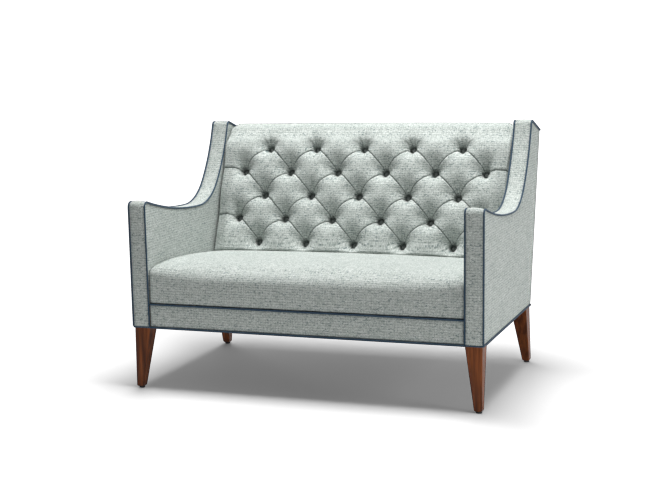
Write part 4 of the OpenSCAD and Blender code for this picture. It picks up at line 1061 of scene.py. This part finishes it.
def insideBackPiece():
    cells, half = tufting["cells"], innerX - settee["gap"]
    side = np.linspace(buttonReach, half, tufting["sideCells"] + 1)[1:]
    middle = np.linspace(-buttonReach, buttonReach, 2 * cells * tufting["shortRow"] + 1)
    xs = np.r_[-side[::-1], middle, side]
    turn, start, centre = backProfile()
    footZ = tuckZ - tufting["footDrop"]
    rowsZ = np.linspace(lowRowZ, topRowZ, cells * (tufting["rows"] - 1) + 1)
    faceZ = np.r_[np.linspace(footZ, lowRowZ, 15)[:-1], rowsZ, np.linspace(topRowZ, start[1], 17)[1:]]
    x, z = np.meshgrid(xs, faceZ, indexing="ij")
    v = (z - topRowZ) / math.cos(buttonLean)
    rise, extra, across, along, foldAndPaintedShade = puffs(x, z)
    places = buttonPlaces()
    # over the top row the cloth runs up smoothly to the roll
    tall = start[1] - topRowZ
    up = smoothStep((z - topRowZ) / tall)
    height = tufting["deep"] + (riseToRoll(z, tall, turn) - tufting["deep"]) * rise + extra * (1 - up)
    # room for every button
    near, below = buttonDistance(x, v, z, places)
    limit = tufting["deep"] + tufting["pitSlope"] * np.maximum(near - tufting["pitRadius"], 0)
    height = np.minimum(height, limit) + gathersAt(x, v, places)
    footLift = tufting["footLift"] * (1 - (x / half) ** 2)
    foot = np.sqrt(np.clip((z - footZ - footLift) / tufting["footRound"], 0, 1))
    edge = np.clip((half - np.abs(x)) / tufting["sideRound"], 0, 1)
    sides = tufting["sideShare"] + (1 - tufting["sideShare"]) * np.sqrt(1 - (1 - edge) ** 2)
    height = np.where(height > 0, height * foot * sides, height * foot)
    # the cushion thins towards the arms, more so lower down
    lower = np.clip((topRowZ - z) / (topRowZ - lowRowZ), 0, 1)
    sideward = 1 - smoothStep((half - np.abs(x)) / tufting["sideReach"])
    height = height - tufting["sideSink"] * lower * sideward * foot
    # seams over the top from the middle and the right-hand buttons
    seam = np.zeros_like(xs)
    for place in (0.0, 2 * buttonPitch):
        seam[np.argmin(np.abs(xs - place))] = 1.0
    height = height - tufting["seamDepth"] * seam[:, None] * (z > topRowZ)
    # the bowed shift of the cloth stops at the edges and at the buttons, sooner below them
    keepIn = foot * edge * (1 - smoothStep((lowRowZ - z) / tufting["stillFoot"]))
    keepIn = keepIn * (1 - smoothStep((z - topRowZ) / tufting["stillTop"]))
    still = tufting["stillNear"] + tufting["stillBelow"] * below
    free = tufting["freeNear"] + tufting["freeBelow"] * below
    keepIn = keepIn * np.clip((near - still) / free, 0, 1)
    along, across = along * keepIn, across * keepIn
    crownDrop = tufting["crown"] * (1 - (xs / half) ** 2)
    crownDrop = crownDrop - tufting["cornerDrop"] * (1 - smoothStep((half - np.abs(xs)) / tufting["cornerReach"]))
    level = lambda u, up: toRow(xs, np.full_like(xs, u), np.full_like(xs, up))
    under = level(buttonPlane(footZ), webbing["footHeight"])
    faceU = buttonPlane(z) - height * math.cos(buttonLean) + along * math.sin(buttonLean)
    faceUp = z + height * math.sin(buttonLean) + along * math.cos(buttonLean) + crownDrop[:, None] * up
    face = toRow(x + across, faceU, faceUp)
    rolled = []
    for i in range(1, tufting["rollSteps"] + 1):
        share = i / tufting["rollSteps"]
        a = math.pi - buttonLean - turn * share
        puffed = tufting["topPuff"] * sides[:, -1] * (1 - share)
        out = tufting["rollRadius"] + puffed - tufting["seamDepth"] * seam
        rolled.append(toRow(xs, centre[0] + out * math.cos(a), centre[1] + out * math.sin(a) + crownDrop))
    end = rearCorner(tufting["topSet"], 2 * settee["gap"])
    last = rolled[-1]
    flat = centre[1] + tufting["rollRadius"] * math.sin(math.pi - buttonLean - turn)
    for share in np.linspace(0, 1, 18)[1:]:
        drop = (1 - share) * crownDrop - tufting["seamDepth"] * seam * (1 - share)
        u = last[:, 1] + halfDepth + (end[0] - last[:, 1] - halfDepth) * share
        swell = tufting["topSwell"] * math.sin(math.pi * share)
        rolled.append(toRow(xs, u, flat + (end[1] - flat) * share + drop + swell))
    # back of the pad: down the rear, over the top rail and down the hessian
    turnZ, footHeight = tufting["turnHeight"], webbing["footHeight"]
    hidden = [level(*rearCorner(tufting["backDrop"], 2 * settee["gap"]))]
    hidden += [level(webLine(z) - webbing["front"], z) for z in (turnZ, footHeight)]
    grid = np.concatenate([under[:, None, :], face, np.stack(rolled + hidden, axis=1)], axis=1)
    wide, tall = grid.shape[:2]
    steps = np.linalg.norm(np.diff(grid[wide // 2 + 9], axis=0), axis=1)  # a column clear of the seams
    # the weave follows the puffs a little, as cloth that is drawn into the pleats does
    base = np.r_[0, (faceZ - webbing["footHeight"]) / math.cos(buttonLean)]
    base = np.r_[base, base[-1] + np.cumsum(steps[len(base) - 1:])]
    uvs = np.stack([np.tile(xs[:, None], (1, tall)), np.tile(base[None, :], (wide, 1))], axis=-1)
    drawn = tufting["drawnIn"] * height - tufting["drawnAlong"] * along
    shown = slice(1, 1 + len(faceZ))
    uvs[:, shown, 1] += drawn
    uvs[:, 1 + len(faceZ):, 1] += np.mean(drawn[:, -1])
    uvs[:, shown, 0] -= tufting["drawnAlong"] * across
    # painted shade along the pleats, and a little round the buttons where their hollows fall into shade
    shade = np.zeros((wide, tall))
    hollow = np.clip(1 - limit / tufting["hollowDepth"], 0, 1) ** 2
    shade[:, shown] = np.maximum(foldAndPaintedShade * foot, tufting["hollowShade"] * hollow)
    faces = loopFaces(wide, tall)
    piece = makePiece("insideBack", grid.reshape(-1, 3), faces, finishes["buttonedCover"], uvs.reshape(-1, 2))
    paintedShadeLayer = piece.data.attributes.new("foldAndPaintedShade", "FLOAT", "POINT")
    paintedShadeLayer.data.foreach_set("value", shade.ravel().astype(np.float32))
    faceOutwards(piece)
    return standFor(piece, "cover_fabric", "inside_back", fill=0.9)


insideBackPiece()
print("settee: back buttoned")

coveredButton = {
    "radius": 0.0094, "dome": 0.0062, "around": 26, "spin": 3.1, "sizeSpread": 0.03,
    "creases": 8, "creaseDepth": 0.015,
    "profile": [(0.12, 1.0), (0.35, 0.96), (0.56, 0.84), (0.74, 0.66), (0.88, 0.42),
                (0.97, 0.16), (1.0, -0.08), (0.93, -0.30), (0.62, -0.45)],
}


def backButtonsPiece():
    r, dome, around = coveredButton["radius"], coveredButton["dome"], coveredButton["around"]
    profile = coveredButton["profile"]
    points = [(0, 0, dome)]
    for share, up in profile:
        for k in range(around):
            a = 2 * math.pi * k / around
            ripple = coveredButton["creaseDepth"] * math.sin(coveredButton["creases"] * a)
            crease = 1 + (ripple if up < 0.3 else 0)
            points.append((r * share * crease * math.cos(a), r * share * crease * math.sin(a), dome * up))
    points.append((0, 0, -dome * 0.5))
    faces = [[0, 1 + k, 1 + (k + 1) % around] for k in range(around)]
    for ring in range(len(profile) - 1):
        a = 1 + ring * around
        faces += [[a + k, a + around + k, a + around + (k + 1) % around, a + (k + 1) % around]
                  for k in range(around)]
    tail = 1 + (len(profile) - 1) * around
    faces += [[len(points) - 1, tail + (k + 1) % around, tail + k] for k in range(around)]
    pattern = makePiece("buttonPattern", points, faces, finishes["button"], np.array(points)[:, :2])
    places = [toRow(np.array(x), np.array(buttonPlane(z) - tufting["buttonSeat"] * math.cos(buttonLean)),
                    np.array(z + tufting["buttonSeat"] * math.sin(buttonLean))) for x, z, _, _ in buttonPlaces()]
    holder = makePiece("buttonPlaces", places, [], finishes["button"])
    piece = applyTree(holder, pointTree, {
        "Piece": pattern, "Tilt": math.pi / 2 - buttonLean, "Spin": coveredButton["spin"],
        "Size Spread": coveredButton["sizeSpread"], "Seed": 4, "Finish": finishes["button"],
    }, "backButtons")
    bpy.data.objects.remove(pattern)
    return standFor(piece, "cover_fabric", "back_buttons")


backButtonsPiece()
print("settee: buttons set")


# seat

seat = {
    "foot": 0.3083, "front": 0.430, "crown": 0.017, "rear": 0.412, "rearCrown": 0.008, "faceU": 0.008,
    "swell": 0.004, "rollRadius": 0.048, "endRoll": 0.014, "tuck": 0.003, "tuckShare": 0.03, "columns": 121,
    "voxel": 0.0075, "pressure": 4.0, "cap": 0.004, "frames": 20, "stiffness": 20, "bending": 2,
    "heldFoot": 0.006, "heldEnds": 0.004, "heldRear": 0.010,
}


def seatProfile(q):
    # section of the seat from its front foot to its rear foot, at a share q of the way out to its ends
    s = seat
    swell = s["swell"] * (1 - q ** 2)
    radius = s["rollRadius"] + (s["endRoll"] - s["rollRadius"]) * q ** 6
    start = s["faceU"] - swell + radius
    rearU = buttonPlane(tuckZ) - 2 * settee["gap"]
    t = np.linspace(0, 1, 8)
    rise = s["front"] - radius
    bulge = swell * np.sin(np.pi * np.clip(t * 0.75, 0, 0.5))
    front = np.c_[s["faceU"] - bulge, s["foot"] + (rise - s["foot"]) * t]
    roll = arcPoints((start, rise), radius, 180, 90, 10, 1)
    t = np.linspace(0, 1, 60)[1:]
    fallen = s["rear"] + s["rearCrown"] * (1 - q ** 2) - s["front"]
    crowned = s["front"] + fallen * t ** 2 + s["crown"] * (1 - 0.1 * q ** 4) * np.sin(np.pi * t ** 0.6)
    tucked = s["tuck"] * np.clip((t - 1 + s["tuckShare"]) / s["tuckShare"], 0, 1) ** 2
    return np.vstack([front, roll, np.c_[start + (rearU - start) * t, crowned - tucked], [[rearU, s["foot"]]]])


def seatCushion():
    half = innerX - settee["gap"]
    columns = np.linspace(-1, 1, seat["columns"])
    grid = np.stack([toRow(np.full(len(seatProfile(0)), half * q), *seatProfile(abs(q)).T) for q in columns])
    piece = makePiece("seatCushion", grid.reshape(-1, 3), loopFaces(*grid.shape[:2]), finishes["cover"])
    faceOutwards(piece)
    swellCushion(piece)
    unrollSeat(piece)
    return standFor(piece, "cover_fabric", "seat_cover", fill=0.9)


def swellCushion(piece):
    # even mesh, then blown out against its held foot, ends and rear
    bpy.context.view_layer.objects.active = piece
    remesh = piece.modifiers.new("even", "REMESH")
    remesh.mode, remesh.voxel_size, remesh.use_smooth_shade = "VOXEL", seat["voxel"], True
    graph = bpy.context.evaluated_depsgraph_get()
    even = bpy.data.meshes.new_from_object(piece.evaluated_get(graph), depsgraph=graph)
    piece.modifiers.remove(remesh)
    piece.data = even
    even.materials.clear()
    even.materials.append(finishes["cover"])
    count = len(even.vertices)
    rest = np.empty(count * 3)
    even.vertices.foreach_get("co", rest)
    rest = rest.reshape(-1, 3)
    held = rest[:, 2] < seat["foot"] + seat["heldFoot"]
    held |= np.abs(rest[:, 0]) > innerX - settee["gap"] - seat["heldEnds"]
    held |= rest[:, 1] + halfDepth > buttonPlane(tuckZ) - seat["heldRear"]
    group = piece.vertex_groups.new(name="held")
    group.add([int(i) for i in np.nonzero(held)[0]], 1.0, "REPLACE")
    cloth = piece.modifiers.new("swell", "CLOTH")
    cloth.settings.vertex_group_mass = "held"
    cloth.settings.use_pressure = True
    cloth.settings.uniform_pressure_force = seat["pressure"]
    cloth.settings.effector_weights.gravity = 0
    cloth.settings.tension_stiffness = cloth.settings.compression_stiffness = seat["stiffness"]
    cloth.settings.bending_stiffness = seat["bending"]
    cloth.settings.quality = 5
    cloth.collision_settings.use_self_collision = False
    cloth.point_cache.frame_start, cloth.point_cache.frame_end = 1, seat["frames"]
    scene = bpy.context.scene
    for step in range(1, seat["frames"] + 1):
        scene.frame_set(step)
    graph = bpy.context.evaluated_depsgraph_get()
    blown = np.empty(count * 3)
    piece.evaluated_get(graph).data.vertices.foreach_get("co", blown)
    shift = blown.reshape(-1, 3) - rest
    length = np.linalg.norm(shift, axis=1)
    shift *= (np.minimum(length, seat["cap"]) / np.maximum(length, 1e-9))[:, None]
    piece.modifiers.remove(cloth)
    scene.frame_set(1)
    even.vertices.foreach_set("co", (rest + shift).ravel())
    even.update()
    print("settee: seat blown,", count, "points, widest shift", round(float(length.max()) * 1000, 1), "mm")


def unrollSeat(piece):
    # the weave runs up the front and over the top without a break
    mesh = piece.data
    profile = seatProfile(0.0)[:-1]
    length = np.r_[0, np.cumsum(np.linalg.norm(np.diff(profile, axis=0), axis=1))]
    fine = np.linspace(0, length[-1], 500)
    line = np.c_[np.interp(fine, length, profile[:, 0]), np.interp(fine, length, profile[:, 1])]
    points = np.empty(len(mesh.vertices) * 3)
    mesh.vertices.foreach_get("co", points)
    points = points.reshape(-1, 3)
    flat = np.c_[points[:, 1] + halfDepth, points[:, 2]]
    along = np.empty(len(flat))
    for start in range(0, len(flat), 4000):
        part = flat[start:start + 4000]
        along[start:start + 4000] = fine[np.argmin(((part[:, None, :] - line[None]) ** 2).sum(-1), axis=1)]
    layWeave(mesh, np.c_[points[:, 0], along])
    mesh.polygons.foreach_set("use_smooth", [True] * len(mesh.polygons))


seatCushion()
print("settee: seat filled")


# dust cloth stretched under the frame, with its corners cut away for the legs

dustCloth = {
    "thick": 0.0012, "lift": 0.0002, "legGap": 0.0003, "legReach": 0.058, "frontSet": 0.0055, "rearSet": 0.005,
}


def dustClothPiece():
    low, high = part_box("dust_cover")
    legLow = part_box("front_right_leg")[0]
    clear = dustCloth["legReach"] + dustCloth["legGap"]
    legX, frontY = legLow[0] - dustCloth["legGap"], legLow[1] + dustCloth["frontSet"] + clear
    backY = rearLine(settee["base"], dustCloth["rearSet"]) - clear - halfDepth
    xs = np.r_[np.linspace(low[0], -legX, 5), np.linspace(-legX, legX, 60)[1:-1], np.linspace(legX, high[0], 5)]
    ys = np.r_[np.linspace(low[1], frontY, 5), np.linspace(frontY, backY, 40)[1:-1], np.linspace(backY, high[1], 5)]
    points, faces, index = [], [], {}
    for i, x in enumerate(xs):
        for j, y in enumerate(ys):
            index[i, j] = len(points)
            points.append((x, y, float(low[2]) + dustCloth["lift"]))
    for i in range(len(xs) - 1):
        for j in range(len(ys) - 1):
            cx, cy = (xs[i] + xs[i + 1]) / 2, (ys[j] + ys[j + 1]) / 2
            if abs(cx) > legX and not frontY < cy < backY:
                continue
            faces.append([index[i, j], index[i, j + 1], index[i + 1, j + 1], index[i + 1, j]])
    piece = makePiece("dustCloth", points, faces, finishes["dust"], np.array(points)[:, :2])
    work = bmesh.new()
    work.from_mesh(piece.data)
    bmesh.ops.delete(work, geom=[v for v in work.verts if not v.link_faces], context="VERTS")
    work.to_mesh(piece.data)
    work.free()
    solid = piece.modifiers.new("thickness", "SOLIDIFY")
    solid.thickness, solid.offset = dustCloth["thick"], -1
    standFor(piece, "dust_cloth", "dust_cover")


dustClothPiece()


# legs

leg = {
    "topWidth": 0.058, "footWidth": 0.026, "set": 0.005, "frontKick": 0.005, "rearKick": 0.039,
    "chamfer": 0.004, "glide": 0.005, "top": 0.224, "round": 0.0013, "sharpest": 12,
}


def legPiece(name, side, topU, footU, node):
    inX = faceX - leg["set"] - leg["topWidth"]
    footX = inX + leg["topWidth"] - leg["footWidth"]
    inwards, corners = leg["chamfer"], ((0, 0), (1, 0), (1, 1), (0, 1))
    rings = [(inX, topU, leg["topWidth"], leg["top"]), (footX, footU, leg["footWidth"], leg["glide"] + inwards),
             (footX + inwards, footU + inwards, leg["footWidth"] - 2 * inwards, leg["glide"])]
    points = [(side * (x + cx * w), u + cu * w - halfDepth, z) for x, u, w, z in rings for cx, cu in corners]
    faces = [[0, 1, 2, 3], [11, 10, 9, 8]]
    for ring in (0, 4):
        faces += [[ring + k, ring + 4 + k, ring + 4 + (k + 1) % 4, ring + (k + 1) % 4] for k in range(4)]
    piece = makePiece(name, points, faces, finishes["leg"])
    faceOutwards(piece)
    bevel = piece.modifiers.new("rounded", "BEVEL")
    bevel.width, bevel.segments = leg["round"], 3
    bevel.limit_method, bevel.angle_limit = "ANGLE", math.radians(leg["sharpest"])
    bevel.harden_normals = True
    return standFor(piece, "leg_wood", node)


frontLegU = frontU + leg["set"]
rearLegU = rearLine(settee["base"], leg["set"]) - leg["topWidth"]
rearFootU = rearLegU + leg["topWidth"] + leg["rearKick"] - leg["footWidth"]
frontFootU = frontLegU - leg["frontKick"]
for side, sideName in ((-1, "left"), (1, "right")):
    legPiece(f"front{sideName.capitalize()}Leg", side, frontLegU, frontFootU, f"front_{sideName}_leg")
    legPiece(f"rear{sideName.capitalize()}Leg", side, rearLegU, rearFootU, f"rear_{sideName}_leg")
print("settee: legs made")


# floor, light and camera

studio = {
    "place": (1.6203, -4.6838, 1.1881), "yaw": 0.39, "pitch": 0.186, "roll": 0.026,
    "lens": 75.67, "shiftX": 0.0908, "shiftY": 0.0840,
    "walls": 0.42, "ceiling": 0.14, "backdrop": 1.2, "floor": 0.70,
    "lights": {  # place, target, size and power
        "topLight": ((0.1, 0.12, 4.2), (0, 0, 0.3), (3.0, 1.2), 248),
        "sideLight": ((3.0, -0.3, 1.05), (0.3, 0, 0.4), (1.8, 1.4), 27),
        "backLight": ((-1.4, 3.0, 0.7), (0, 0, 0.1), (3.2, 0.9), 85),
    },
}


def studioCamera():
    data = bpy.data.cameras.new("studioCamera")
    data.lens, data.sensor_width = studio["lens"], 36
    data.shift_x, data.shift_y = studio["shiftX"], studio["shiftY"]
    data.clip_start, data.clip_end = 0.05, 60
    camera = bpy.data.objects.new("studioCamera", data)
    bpy.context.scene.collection.objects.link(camera)
    yaw, pitch, roll = studio["yaw"], studio["pitch"], studio["roll"]
    forward = Vector((-math.sin(yaw) * math.cos(pitch), math.cos(yaw) * math.cos(pitch), -math.sin(pitch)))
    right = Vector((math.cos(yaw), math.sin(yaw), 0))
    up = right.cross(forward)
    turnedRight = right * math.cos(roll) - up * math.sin(roll)
    turnedUp = right * math.sin(roll) + up * math.cos(roll)
    turned = Matrix((turnedRight, turnedUp, -forward)).transposed().to_4x4()
    turned.translation = Vector(studio["place"])
    camera.matrix_world = turned
    bpy.context.scene.camera = camera


def studioFloor():
    finish, tree, shader = newFinish("pale studio floor")
    shader.inputs["Base Color"].default_value = (studio["floor"],) * 3 + (1,)
    shader.inputs["Roughness"].default_value = 0.9
    shader.inputs["Specular IOR Level"].default_value = 0.1
    corners = [(-30, -30, 0), (30, -30, 0), (30, 30, 0), (-30, 30, 0)]
    floor = makePiece("studioFloor", corners, [[0, 1, 2, 3]], finish)
    floor.is_shadow_catcher = True


def areaLight(name, place, target, size, power):
    data = bpy.data.lights.new(name, "AREA")
    data.shape, data.energy = "RECTANGLE", power
    data.size, data.size_y = size
    light = bpy.data.objects.new(name, data)
    light.location = place
    light.rotation_mode = "QUATERNION"
    light.rotation_quaternion = (Vector(target) - Vector(place)).to_track_quat("-Z", "Y")
    bpy.context.scene.collection.objects.link(light)


def studioWorld():
    world = bpy.data.worlds.new("studioWorld")
    bpy.context.scene.world = world
    world.use_nodes = True
    tree = world.node_tree
    tree.nodes.clear()
    out = tree.nodes.new("ShaderNodeOutputWorld")
    seen, lit = tree.nodes.new("ShaderNodeBackground"), tree.nodes.new("ShaderNodeBackground")
    seen.inputs[0].default_value, seen.inputs[1].default_value = (1, 1, 1, 1), studio["backdrop"]
    # pale walls all round under a darker ceiling
    turn = tree.nodes.new("ShaderNodeTexCoord")
    height = tree.nodes.new("ShaderNodeSeparateXYZ")
    tree.links.new(turn.outputs["Generated"], height.inputs[0])
    glow = spread(tree, height.outputs[2], 0.35, 0.55, studio["walls"], studio["ceiling"])
    lit.inputs[0].default_value = (1, 1, 1, 1)
    tree.links.new(glow, lit.inputs[1])
    path, mix = tree.nodes.new("ShaderNodeLightPath"), tree.nodes.new("ShaderNodeMixShader")
    tree.links.new(path.outputs["Is Camera Ray"], mix.inputs[0])
    tree.links.new(lit.outputs[0], mix.inputs[1])
    tree.links.new(seen.outputs[0], mix.inputs[2])
    tree.links.new(mix.outputs[0], out.inputs[0])


studioCamera()
studioFloor()
studioWorld()
for lightName, setting in studio["lights"].items():
    areaLight(lightName, *setting)
bpy.context.scene.view_settings.view_transform = "Standard"
print("settee: studio set")
